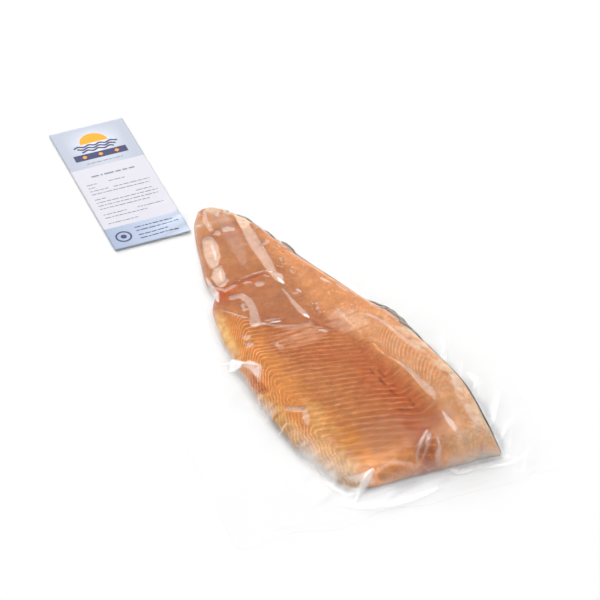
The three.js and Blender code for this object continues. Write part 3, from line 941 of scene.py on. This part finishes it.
def vacuum_film(film):
    """Polyamide and polyethylene vacuum film, co-extruded: clear, thin and stretched hard.

    The eye sees through it. It shows by its reflections: faint where it clings wetly to the flesh,
    and over four times as strong where air under it adds more faces that reflect. Where it is
    doubled or crumpled, and over air, it is painted white by a diffuse haze, a painted sheen in place
    of its reflections; at the flesh's edges that white is painted light over the contact shadow.
    Where it slopes to the table its tint dims what lies behind, a painted shade.
    """
    material, tree = new_material("vacuum_film_clear")
    air = add(tree, "ShaderNodeAttribute", {"attribute_name": "air"}, out="Fac")
    veil = add(tree, "ShaderNodeAttribute", {"attribute_name": "veil"}, out="Fac")
    crinkle = add(tree, "ShaderNodeMath", {"operation": "MULTIPLY_ADD"}, {
        0: blotches(tree, 2.5, 2), 1: 0.25, 2: blotches(tree, 9, 2)})
    bump = add(tree, "ShaderNodeBump", inputs={
        "Strength": 0.4, "Distance": 0.2 * MM, "Height": crinkle})
    facing = add(tree, "ShaderNodeLayerWeight", inputs={"Blend": 0.5, "Normal": bump}, out="Facing")
    grazing = add(tree, "ShaderNodeMath", {"operation": "POWER"}, {0: facing, 1: 4.5})
    one_face = add(tree, "ShaderNodeMath", {"operation": "MULTIPLY_ADD"}, {0: grazing, 1: 0.12, 2: 0.015})
    faces = add(tree, "ShaderNodeMath", {"operation": "MULTIPLY_ADD"}, {0: air, 1: 3.4, 2: 1.0})
    reflected = add(tree, "ShaderNodeMath", {"operation": "MULTIPLY", "use_clamp": True}, {
        0: one_face, 1: faces})
    # Painted shade: the film's tint is darkened where it slopes down beside the flesh, dimming what lies
    # behind and under it
    passed = coats(tree, film.tint, [("MIX", film.tint_painted_shade, "slope")])
    clear = add(tree, "ShaderNodeBsdfTransparent", inputs={"Color": passed})
    gloss = add(tree, "ShaderNodeBsdfGlossy", inputs={"Roughness": film.roughness, "Normal": bump})
    sheet = add(tree, "ShaderNodeMixShader", inputs={0: reflected, 1: clear, 2: gloss})
    haze = add(tree, "ShaderNodeBsdfDiffuse", inputs={"Color": film.haze})
    # Painted sheen: a diffuse white, by air and by the painted sheen field, in place of reflections
    white = add(tree, "ShaderNodeMath", {"operation": "MULTIPLY_ADD", "use_clamp": True}, {
        0: air, 1: 0.07, 2: veil})
    hazy = add(tree, "ShaderNodeMixShader", inputs={0: white, 1: sheet, 2: haze})
    add(tree, "ShaderNodeOutputMaterial", inputs={"Surface": hazy})
    return material


def coated_paper(label):
    """Coated label paper, printed in flat fields: smooth and satin, with the faintest fibre.

    The eye sees a pale blue heading that lightens in its middle, a white body and a pale blue foot.
    The fibre is coarser than real paper's, so that it shows.
    """
    material, tree = new_material("label_paper_coated")
    down = add(tree, "ShaderNodeAttribute", {"attribute_name": "down"}, out="Fac")
    aside = add(tree, "ShaderNodeAttribute", {"attribute_name": "aside"}, out="Fac")
    in_heading = add(tree, "ShaderNodeMath", {"operation": "LESS_THAN"}, {0: down, 1: HEADING_SHARE})
    in_foot = add(tree, "ShaderNodeMath", {"operation": "GREATER_THAN"}, {0: down, 1: FOOT_SHARE})
    glow_down = add(tree, "ShaderNodeValToRGB", inputs={"Fac": down},
                    stops=[(0.0, 0), (0.13, 1), (0.31, 0.25)])
    glow_aside = add(tree, "ShaderNodeValToRGB", inputs={"Fac": aside},
                     stops=[(0.1, 0), (0.5, 1), (0.9, 0)])
    fade = add(tree, "ShaderNodeValToRGB", inputs={"Fac": aside}, stops=[(0, 0), (1, 1)])
    heading = coats(tree, label.heading, [("MIX", label.heading_light, glow_down, glow_aside)])
    foot = coats(tree, label.foot, [("MIX", label.foot_light, fade)])
    fibre = blotches(tree, 0.9, 5, [(0.3, 0.97), (0.7, 1.02)])
    hue = coats(tree, label.paper, [
        ("MIX", heading, in_heading), ("MIX", foot, in_foot), ("MULTIPLY", fibre, 0.6)])
    bump = add(tree, "ShaderNodeBump", inputs={
        "Strength": 0.15, "Distance": 0.05 * MM, "Height": blotches(tree, 1.2, 4)})
    shader = add(tree, "ShaderNodeBsdfPrincipled", inputs={
        "Base Color": hue, "Roughness": 0.5, "IOR": 1.5, "Normal": bump})
    add(tree, "ShaderNodeOutputMaterial", inputs={"Surface": shader})
    return material


def printing_ink(name, colour):
    """Offset printing ink on coated paper: a flat field of colour, a touch uneven and satin."""
    material, tree = new_material(name)
    hue = coats(tree, colour, [("MULTIPLY", blotches(tree, 0.8, 4, [(0.3, 0.92), (0.7, 1.06)]), 0.7)])
    shader = add(tree, "ShaderNodeBsdfPrincipled", inputs={
        "Base Color": hue, "Roughness": 0.45, "IOR": 1.5})
    add(tree, "ShaderNodeOutputMaterial", inputs={"Surface": shader})
    return material


def matt_board(stage):
    """A studio sweep of matt white board: even, with no gloss of its own."""
    material, tree = new_material("studio_board_white")
    hue = coats(tree, stage.floor, [("MULTIPLY", blotches(tree, 700, 2, [(0.3, 0.99), (0.7, 1.0)]), 1.0)])
    shader = add(tree, "ShaderNodeBsdfDiffuse", inputs={"Color": hue, "Roughness": 1.0})
    add(tree, "ShaderNodeOutputMaterial", inputs={"Surface": shader})
    return material


# Pieces

def colour_property(name, description, code):
    """A colour that the user may change, from its sRGB hex code."""
    return FloatVectorProperty(name=name, description=description, subtype="COLOR", size=4, min=0, max=1,
                               default=srgb(code))


class FilletSettings(bpy.types.PropertyGroup):
    flesh: colour_property("Flesh", "Colour of the raw muscle", "#A3673A")
    flesh_deep: colour_property("Deep flesh", "Colour of the muscle where it is darker", "#96572F")
    loin: colour_property("Loin", "Colour of the paler loin beside the back", "#B47C52")
    dark_muscle: colour_property("Dark muscle", "Colour of the dark band along the pin bones", "#984820")
    # Partly painted shade: darkens the tail half, which faces the key light, besides the membrane's own
    # colour
    sheath: colour_property("Sheath", "Colour of the thin membrane over the tail half", "#8C614A")
    # Painted light: lightens the flesh by the head cut, where the round end is turned from the key light
    light: colour_property("Light flesh", "Colour of the flesh towards the head cut and the back", "#F5A96D")
    # Also partly painted light at the head cut's back corner, through the pale field
    membrane: colour_property("Edges", "Colour of the thin edges of the flesh", "#C9A686")
    milky: colour_property("Milky patches", "Colour of the patches of thin fat by the back", "#C0A68C")
    fat: colour_property("Fat", "Colour of the fat along the belly", "#BF945A")
    line: colour_property("Lines", "Colour of the connective tissue between the segments", "#E2A676")
    line_shade: colour_property("Line shade", "Shade beside each line", "#C07F58")
    belly: colour_property("Belly flesh", "Colour of the muscle of the belly flap", "#B47237")
    # Painted sheen: stands in for the pale reflection of the film where air lies under it
    dry: colour_property("Sheen", "Colour that the flesh turns to where air lies on it", "#F0CBB0")
    blood: colour_property("Blood", "Colour of the spots and streaks of blood", "#6E2A14")
    inset: FloatProperty(name="Inset", description="How far the flesh stays inside the skin",
                         default=0.0006, unit="LENGTH")


class SkinSettings(bpy.types.PropertyGroup):
    belly: colour_property("Belly", "Colour of the skin under the belly", "#E4E1D9")
    flank: colour_property("Flank", "Colour of the silver flank", "#A9ACA4")
    rose: colour_property("Rose band", "Colour of the band along the flank", "#B79A92")
    back: colour_property("Back", "Colour of the skin towards the back", "#A59D90")
    back_dark: colour_property("Top of the back", "Colour of the darkest skin", "#8D8577")
    spot: colour_property("Spots", "Colour of the spots", "#4A473D")


class FilmSettings(bpy.types.PropertyGroup):
    tint: colour_property("Tint", "What the clear film lets through", "#FFFFFF")
    # Painted shade: a grey tint where the film slopes down beside the flesh, most before the head cut
    tint_painted_shade: colour_property(
        "Shading tint", "What the film lets through where it slopes down", "#E9EAEC")
    # The haze carries the film's painted sheen: the faint white over air and the white of creases, folds,
    # facets and edges
    haze: colour_property("Haze", "Colour of the faint haze where air lies under the film", "#FFFFFF")
    roughness: FloatProperty(name="Roughness", description="Roughness of the film's gloss",
                             default=0.09, min=0, max=1)


class LabelSettings(bpy.types.PropertyGroup):
    paper: colour_property("Paper", "Colour of the label's body", "#B5B4BC")
    heading: colour_property("Heading", "Colour of the heading's edges", "#9CA1AD")
    heading_light: colour_property("Heading middle", "Colour of the heading's middle", "#C6CAD2")
    foot: colour_property("Foot", "Colour of the foot", "#8A95AB")
    foot_light: colour_property("Foot, light end", "Colour of the foot at its light end", "#A9B2C2")
    navy: colour_property("Navy ink", "Colour of the dark ink", "#2E3358")
    orange: colour_property("Orange ink", "Colour of the bright ink", "#F2900C")
    grey: colour_property("Grey ink", "Colour of the small print", "#74747F")


class StageSettings(bpy.types.PropertyGroup):
    floor: colour_property("Floor", "Colour of the floor", "#F1F1F1")
    surround: FloatProperty(name="Surround", description="Brightness of the white room", default=0.9, min=0)
    key_power: FloatProperty(name="Key light", description="Power of the soft key light",
                             default=140, min=0, unit="POWER")
    lens: FloatProperty(name="Lens", description="Focal length of the camera in millimetres",
                        default=212.9, min=1)


def off_cut(to_cut, y):
    """1 over the fillet, near nothing by the cut, where the film clings to its rounded edge."""
    beside_back = ease(y, 38, 46)
    return 1 - 0.9 * ease(to_cut, 16 - 7 * beside_back, 7 - 3 * beside_back)


def under_air(x, y, top):
    """1 where the film stands clear of what lies under it, with its top at the heights given."""
    return ease(read_net(FILM_NET, x, y) - top, *AIR_GAPS)


def flesh_grid(columns, rows, inset):
    """Places over the flesh as X and Y grids, with its two edges and the distance from the cut."""
    belly_end, back_end = belly_edge(CUT_X), back_edge(CUT_X) - inset
    length = cut_edge(belly_end + (back_end - belly_end) * rows) - inset - TAIL_X
    x = TAIL_X + np.outer(columns, length)
    belly, back = belly_edge(x), back_edge(x) - inset + SLIVER_FILL * sliver(x)
    return x, belly + (back - belly) * rows, belly, back, np.outer(1 - columns, length)


class TROUT_OT_fillet(bpy.types.Operator):
    """Builds the flesh of the fillet with its segments, seams, fat and hollows"""

    bl_idname = "trout.fillet"
    bl_label = "Flesh"

    def execute(self, context):
        settings = context.scene.trout_fillet
        columns, rows = spaced(FLESH_COLUMNS, 0.25), spaced(FLESH_ROWS, 0.5)
        x, y, belly, back, to_cut = flesh_grid(columns, rows, settings.inset / MM)
        top, bottom = shell(x, y, belly, back, to_cut)
        fields = Flesh(x, y).fields()
        top = np.maximum(top + flesh_relief(x, y, fields) * relief_room(x, y, to_cut), bottom)
        # Painted sheen over the flesh where the film stands clear of it
        fields["dry"] = under_air(x, y, FLESH_UNDER + top) * off_cut(to_cut, y)
        upper, lower = grid_points(x, y, FLESH_UNDER + top), grid_points(x, y, FLESH_UNDER + bottom)
        solid("fillet_flesh", upper, lower, raw_trout(settings), flat=FLESH_FLAT, fields=fields)
        return {"FINISHED"}


class TROUT_OT_skin(bpy.types.Operator):
    """Builds the skin under the fillet, up its back and out in slivers past the flesh"""

    bl_idname = "trout.skin"
    bl_label = "Skin"

    def execute(self, context):
        columns = spaced(SKIN_COLUMNS, 0.2)[:, None]
        flat_share = spaced(SKIN_FLAT_ROWS, 0.3)[:-1]
        turn_share = np.linspace(0, 1, SKIN_TURN_ROWS)
        length = CUT_X - SKIN_SHORT - TAIL_X
        x, to_cut = TAIL_X + columns * length, (1 - columns) * length
        out = sliver(x)
        belly, back = belly_edge(x) + SKIN_IN, back_edge(x) + out
        cover = SKIN_COVER + SLIVER_COVER * np.minimum(out / SLIVER_FULL, 1)
        cover = cover + 0.04 * noise(x, 0, 2.5, 61)
        flat_y = belly + (back - back_roll(x) - belly) * flat_share
        turn_from = -np.pi / 2
        turn = turn_from + (np.arcsin(np.clip(cover, 0, MOST_COVER)) - turn_from) * turn_share
        turn_y = back - back_roll(x) * (1 - np.cos(turn))
        y = np.concatenate([flat_y, turn_y], axis=1)
        top, bottom = shell(x, y, belly, back, to_cut)
        over = np.concatenate([np.zeros(flat_y.shape, bool), turn > 0], axis=1)
        z = np.where(over, top, bottom)
        rise_y, rise_z = np.gradient(y, axis=1), np.gradient(z, axis=1)
        size = np.hypot(rise_y, rise_z) + 1e-9
        outer = grid_points(x + 0 * y, y, SKIN_UNDER + SKIN_THICK + z)
        inward = SKIN_THICK * grid_points(0 * y, rise_z / size, -rise_y / size)
        # The skin's own field: 0 at the belly, 0.8 where it turns up at the back, and 1 at its edge
        girth = np.broadcast_to(np.concatenate([0.8 * flat_share, 0.8 + 0.2 * turn_share]), y.shape)
        skin = solid("fillet_skin", outer, outer + inward, trout_skin(context.scene.trout_skin),
                     fields={"girth": girth})
        return {"FINISHED"}


def painted_film_sheen(x, y, to_cut, inside):
    """The film's painted sheen: white at creases, folds and facets in place of their reflections, and
    painted light where it leaves the edges of the flesh, over their contact shadow.
    """
    folds = [(1, [point[:3] for point in points]) for points in FOLDS]
    veil = np.maximum(CREASE_SHEEN * strongest(x, y, CREASES, 0.5), FOLD_SHEEN * strongest(x, y, folds, 0.5))
    veil = np.maximum(veil, strongest(x, y, SHEEN_STROKES, 0.6))
    for share, soft, corners in SHEEN_FACETS:
        veil = np.maximum(veil, share * ease(facet(x, y, corners), 0, soft))
    # By the belly tip and the cut's back half the painted light at the edge is stronger, and softer
    soft_rim = np.maximum(ease(x, 90, 150) * ease(y, 10, -10), 0.7 * ease(to_cut, 8, 2) * ease(y, 45, 25))
    at_edge = EDGE_PAINTED_LIGHT * bell(inside, -0.6, EDGE_REACH * (1 + 0.8 * soft_rim))
    at_edge = at_edge * (0.6 + 0.4 * ease(x, 60, 140)) * (1 + 0.4 * soft_rim)
    at_edge = at_edge * ease(noise(x, y, 16, 54), -0.9, 0)
    return np.maximum(veil, at_edge) * (0.85 + 0.15 * noise(x, y, 2.5, 53))


class TROUT_OT_pouch(bpy.types.Operator):
    """Builds the clear pouch: a film drawn down over the fillet and a flat one under it"""

    bl_idname = "trout.pouch"
    bl_label = "Pouch film"

    def execute(self, context):
        columns = steps((-POUCH_X, FINE_X[0], TAIL_STEP), (*FINE_X, FILM_STEP),
                        (FINE_X[1], POUCH_X, RIM_STEP))
        rows = steps((-POUCH_Y, FINE_Y[0], BELLY_STEP), (*FINE_Y, FILM_STEP),
                     (FINE_Y[1], POUCH_Y, RIM_STEP))
        x, y = np.meshgrid(columns, rows, indexing="ij")
        over, lift = read_net(FILM_NET, x, y), hem_lift(x, y)
        to_cut = cut_edge(y) - x
        inside = inside_flesh(x, y, to_cut)
        clear_of_hem = over - HEM_TOP - lift
        flesh, _ = flesh_top(x, y, to_cut)
        over_flesh = under_air(x, y, flesh) * ease(inside, 0.2, 1.6) * off_cut(to_cut, y)
        fields = {
            "air": np.where(inside > 0, over_flesh, 0.35 * ease(clear_of_hem, 0.5, 3)),
            # Painted sheen, and painted light where the film leaves the flesh's edges
            "veil": painted_film_sheen(x, y, to_cut, inside),
            # Painted shade of the film where it slopes down beside the flesh, stronger before the head cut
            "slope": np.where(inside > -0.5, 0, ease(clear_of_hem, 0.2, 2.2))
                     * (0.5 + 0.5 * ease(-to_cut, -2, 2)),
        }
        # The net is pressed into the pouch's outline: rounded corners, and a wavy open end
        turned = np.clip(np.abs(x) - (POUCH_X - POUCH_CORNER), 0, POUCH_CORNER)
        half = POUCH_Y - POUCH_CORNER + np.sqrt(POUCH_CORNER ** 2 - turned ** 2)
        wide_y = y * half / POUCH_Y
        scallop = END_SCALLOP["depth"] * wave(wide_y + END_SCALLOP["shift"], END_SCALLOP["pitch"])
        wide_x = x - scallop * ease(x, CUT_X, POUCH_X)
        flat_rows = tuple(int(np.searchsorted(rows, edge)) for edge in POUCH_FLAT_Y)
        flat = ((0, int(np.searchsorted(columns, POUCH_FLAT_TO_X))), flat_rows)
        upper, lower = grid_points(wide_x, wide_y, over), grid_points(wide_x, wide_y, FILM_UNDER + lift)
        pouch = solid("pouch_film", upper, lower, vacuum_film(context.scene.trout_film), flat=flat,
                      fields=fields)
        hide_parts("vacuum_pouch")
        return {"FINISHED"}


# The label, in millimetres down its length from the heading and across its width
LABEL_LENGTH, LABEL_WIDTH = 129, 51
LABEL_MIDDLE = (-135.2, -63.8)
LABEL_TURN = np.radians(2.5)
LABEL_THICK, LABEL_GAP = 0.2, 0.1
HEADING_SHARE, FOOT_SHARE = 43 / LABEL_LENGTH, 107 / LABEL_LENGTH
# The ink's height over the paper: grey and navy, then orange, which may lie on navy, and its underside
INK_LOW, INK_HIGH, INK_UNDER = 0.04, 0.06, 0.01
# The emblem: the sun's middle and radius, the three waves, the bar and the diamonds on it
SUN_MIDDLE, SUN_RADIUS = (18, 25), 9.5
WAVE_ROWS, WAVE_FROM, WAVE_APART, WAVE_THICK, WAVE_HEIGHT, WAVE_PITCH = 3, 19.6, 2.6, 1.5, 0.7, 7.5
BAR_TOP, BAR_LEFT, BAR_LONG, BAR_TALL = 28.4, 7, 36, 6.4
DIAMONDS, DIAMOND_MIDDLE, DIAMOND_HALF = (14, 25, 36), 31.6, 1.7
# The ring in the foot: its middle, the radius of its dot and its own inner and outer radius
RING_MIDDLE, DOT_RADIUS, RING_RADII = (118, 9.5), 2, (4.2, 5.4)
# Rows of small print, as (down, from, to, height of its bars), and those of the foot without height
PRINT_ROWS = [
    (38.6, 13, 37, 0.9), (52, 11, 40, 1.7), (60, 5, 12, 0.9), (60, 20, 31, 0.9), (63.4, 5, 9, 0.9),
    (66.8, 5, 17, 0.9), (66.8, 21, 45, 0.9), (70.2, 5, 44, 0.9), (76, 5, 12, 0.9), (76, 33, 44, 0.9),
    (79.4, 5, 46, 0.9), (82.8, 5, 45, 0.9), (86.2, 5, 38, 0.9), (92.5, 5, 20, 0.9), (92.5, 28, 45, 0.9),
    (96, 5, 33, 0.9), (102, 5, 25, 0.9),
]
FOOT_ROWS = [(111.5, 19, 44), (115, 19, 46), (119.5, 19, 38), (123, 19, 42)]


def label_place(down, aside):
    """X, Y and the upper face's Z of a place on the label."""
    dx, dy = down - LABEL_LENGTH / 2, aside - LABEL_WIDTH / 2
    x = LABEL_MIDDLE[0] + dx * np.cos(LABEL_TURN) - dy * np.sin(LABEL_TURN)
    y = LABEL_MIDDLE[1] + dx * np.sin(LABEL_TURN) + dy * np.cos(LABEL_TURN)
    return x, y, read_net(FILM_NET, x, y) + LABEL_GAP + LABEL_THICK


def bar(down, aside, long, tall):
    """A small upright rectangle, as corners (down, aside), from its top left corner."""
    return [(down, aside), (down + tall, aside), (down + tall, aside + long), (down, aside + long)]


def small_print():
    """Rows of short grey bars, in the places where a label carries its small print."""
    draw = np.random.default_rng(71)
    bars = []
    for down, aside, end, tall in PRINT_ROWS:
        while aside < end:
            long = draw.uniform(1.1, 1.1 + 4 * tall)
            bars.append(bar(down, aside, min(long, end - aside + 0.5), tall * 0.8))
            aside += long + 0.55 * tall + 0.2
    return bars


def around(middle, radius, angles):
    """Places on a circle on the label."""
    return [(middle[0] + radius * np.sin(a), middle[1] + radius * np.cos(a)) for a in angles]


def emblem():
    """A plain sea and sun: shapes in orange and in navy."""
    orange = [around(SUN_MIDDLE, SUN_RADIUS, np.linspace(np.pi, 2 * np.pi, 25))]
    navy = []
    for row in range(WAVE_ROWS):
        across = np.linspace(10 + 2 * row, 40 - 2 * row, 31)
        crest = WAVE_FROM + WAVE_APART * row
        crest = crest + WAVE_HEIGHT * np.sin(across * 2 * np.pi / WAVE_PITCH + row)
        upper = list(zip(crest, across))
        lower = [(down + WAVE_THICK, aside) for down, aside in upper]
        navy.append(upper[::-1] + lower)
    navy.append(bar(BAR_TOP, BAR_LEFT, BAR_LONG, BAR_TALL))
    for middle in DIAMONDS:
        half = DIAMOND_HALF
        orange.append([(DIAMOND_MIDDLE - half, middle), (DIAMOND_MIDDLE, middle - half),
                       (DIAMOND_MIDDLE + half, middle), (DIAMOND_MIDDLE, middle + half)])
    return orange, navy


def foot_print():
    """Navy shapes of the foot: a ring with a dot, and short rows beside it."""
    draw = np.random.default_rng(72)
    angles = np.linspace(0, 2 * np.pi, 33)
    shapes = [around(RING_MIDDLE, DOT_RADIUS, angles[:-1])]
    inner, outer = RING_RADII
    for pair in zip(angles, angles[1:]):
        shapes.append(around(RING_MIDDLE, outer, pair[:1]) + around(RING_MIDDLE, inner, pair)
                      + around(RING_MIDDLE, outer, pair[1:]))
    for down, aside, end in FOOT_ROWS:
        while aside < end:
            long = draw.uniform(1.2, 5)
            shapes.append(bar(down, aside, long, 0.8))
            aside += long + 0.7
    return shapes


class TROUT_OT_label(bpy.types.Operator):
    """Builds the paper label on the pouch and the plain shapes printed on it"""

    bl_idname = "trout.label"
    bl_label = "Label"

    def execute(self, context):
        settings = context.scene.trout_label
        down, aside = np.meshgrid(np.linspace(0, LABEL_LENGTH, LABEL_COLUMNS),
                                  np.linspace(0, LABEL_WIDTH, LABEL_ROWS), indexing="ij")
        x, y, z = label_place(down, aside)
        paper = solid("paper_label", grid_points(x, y, z), grid_points(x, y, z - LABEL_THICK),
                      coated_paper(settings),
                      fields={"down": down / LABEL_LENGTH, "aside": aside / LABEL_WIDTH})
        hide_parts("label")
        orange, navy = emblem()
        inks = [printing_ink("ink_grey", settings.grey), printing_ink("ink_navy", settings.navy),
                printing_ink("ink_orange", settings.orange)]
        layers = [(INK_LOW, small_print()), (INK_LOW, navy + foot_print()), (INK_HIGH, orange)]
        points, faces, ink_of_face = [], [], []
        for ink, (height, shapes) in enumerate(layers):
            for shape in shapes:
                px, py, pz = label_place(*np.array(shape, float).T)
                upper = np.arange(len(shape)) + len(points)
                lower = upper + len(shape)
                points += [*zip(px, py, pz + height), *zip(px, py, pz + INK_UNDER)]
                sides = np.stack([lower, np.roll(lower, -1), np.roll(upper, -1), upper], axis=1)
                faces += [upper.tolist(), lower[::-1].tolist(), *sides.tolist()]
                ink_of_face += [ink] * (len(shape) + 2)
        print_layer = piece("label_print", np.array(points), faces, inks, face_material=ink_of_face)
        return {"FINISHED"}


# The photograph's view: where the camera looks, how far off it stands and from which side
VIEW_TARGET = (13.8, 7.2, 0)
VIEW_DISTANCE, VIEW_AZIMUTH, VIEW_ELEVATION = 2200, 70.4, 40
KEY_FROM, KEY_DISTANCE, KEY_SIZE = (-0.84, -0.02, 0.52), 3.0, 1.8
FLOOR_SIZE = 20
# Brightness of the room's walls on its dark side, between, and round the key light
ROOM_DARK, ROOM_MIDDLE, ROOM_BRIGHT = 0.72, 0.78, 1.3
# A small bright panel overhead, which gives the creases of the film their glints, and the cosines of
# the angles from its middle at which its soft edge ends and begins
PANEL_FROM, PANEL_BRIGHT, PANEL_EDGE = (-0.3, 0.12, 0.95), 5, (0.966, 0.992)


def white_room(settings):
    """The world: white walls that are brighter round the key light, and the panel overhead."""
    world = bpy.data.worlds.new("white_room")
    world.use_nodes = True
    tree = world.node_tree
    tree.nodes.clear()
    towards = add(tree, "ShaderNodeTexCoord", out="Generated")
    facing, above = (
        add(tree, "ShaderNodeVectorMath", {"operation": "DOT_PRODUCT"},
            {0: towards, 1: Vector(side).normalized()}, out="Value")
        for side in (KEY_FROM, PANEL_FROM))
    wall = add(tree, "ShaderNodeValToRGB", inputs={"Fac": facing},
               stops=[(0, ROOM_DARK), (0.45, ROOM_MIDDLE), (0.95, ROOM_BRIGHT)])
    panel = add(tree, "ShaderNodeValToRGB", inputs={"Fac": above},
                stops=[(PANEL_EDGE[0], 0), (PANEL_EDGE[1], 1)])
    walls = add(tree, "ShaderNodeMath", {"operation": "MULTIPLY_ADD"}, {
        0: panel, 1: PANEL_BRIGHT, 2: wall})
    room = add(tree, "ShaderNodeBackground", inputs={"Color": walls, "Strength": settings.surround})
    add(tree, "ShaderNodeOutputWorld", inputs={"Surface": room})
    return world


def key_light(power, target):
    """The soft square light beside the pack, which shines on the target."""
    light = bpy.data.lights.new("key", "AREA")
    light.shape = "SQUARE"
    light.size = KEY_SIZE
    light.energy = power
    key = bpy.data.objects.new("key", light)
    key.location = target + Vector(KEY_FROM).normalized() * KEY_DISTANCE
    key.rotation_euler = (key.location - target).to_track_quat("Z", "Y").to_euler()
    # A broad screen stands before the lamp, so nothing glossy mirrors the lamp itself
    key.visible_glossy = False
    return key


def photo_camera(focal_length, target):
    """The camera, where the photograph's stood."""
    azimuth, elevation = np.radians((VIEW_AZIMUTH, VIEW_ELEVATION))
    flat_away = (np.sin(azimuth) * np.cos(elevation), -np.cos(azimuth) * np.cos(elevation))
    away = Vector((*flat_away, np.sin(elevation)))
    lens = bpy.data.cameras.new("camera")
    lens.lens = focal_length
    camera = bpy.data.objects.new("camera", lens)
    camera.location = target + away * VIEW_DISTANCE * MM
    camera.rotation_euler = away.to_track_quat("Z", "Y").to_euler()
    return camera


class TROUT_OT_stage(bpy.types.Operator):
    """Builds the floor, the soft light and the camera"""

    bl_idname = "trout.stage"
    bl_label = "Stage"

    def execute(self, context):
        settings, scene = context.scene.trout_stage, context.scene
        half = FLOOR_SIZE / 2
        corners = [(-half, -half, 0), (half, -half, 0), (half, half, 0), (-half, half, 0)]
        mesh = bpy.data.meshes.new("studio_floor")
        mesh.from_pydata(corners, [], [(0, 1, 2, 3)])
        mesh.materials.append(matt_board(settings))
        floor = bpy.data.objects.new("studio_floor", mesh)
        scene.collection.objects.link(floor)
        scene.world = white_room(settings)
        target = Vector(VIEW_TARGET) * MM
        camera = photo_camera(settings.lens, target)
        for item in (key_light(settings.key_power, target), camera):
            scene.collection.objects.link(item)
        scene.camera = camera
        scene.view_settings.view_transform = "Standard"
        return {"FINISHED"}


OPERATORS = (TROUT_OT_stage, TROUT_OT_fillet, TROUT_OT_skin, TROUT_OT_pouch, TROUT_OT_label)
SETTINGS = {
    "trout_fillet": FilletSettings,
    "trout_skin": SkinSettings,
    "trout_film": FilmSettings,
    "trout_label": LabelSettings,
    "trout_stage": StageSettings,
}


class TROUT_PT_panel(bpy.types.Panel):
    """Lists the pieces of the pack"""

    bl_idname = "TROUT_PT_panel"
    bl_label = "Vacuum-packed trout"
    bl_space_type = "VIEW_3D"
    bl_region_type = "UI"
    bl_category = "Trout"

    def draw(self, context):
        for operator in OPERATORS:
            self.layout.operator(operator.bl_idname)
        for name, group in SETTINGS.items():
            box = self.layout.box()
            for key in group.__annotations__:
                box.prop(getattr(context.scene, name), key)


def register():
    for group in SETTINGS.values():
        bpy.utils.register_class(group)
    for name, group in SETTINGS.items():
        setattr(bpy.types.Scene, name, PointerProperty(type=group))
    for kind in (*OPERATORS, TROUT_PT_panel):
        bpy.utils.register_class(kind)


def unregister():
    for kind in (TROUT_PT_panel, *reversed(OPERATORS)):
        bpy.utils.unregister_class(kind)
    for name, group in SETTINGS.items():
        delattr(bpy.types.Scene, name)
        bpy.utils.unregister_class(group)


def main():
    register()
    bpy.ops.trout.stage()
    bpy.ops.trout.fillet()
    bpy.ops.trout.skin()
    bpy.ops.trout.pouch()
    bpy.ops.trout.label()


if __name__ == "__main__":
    main()
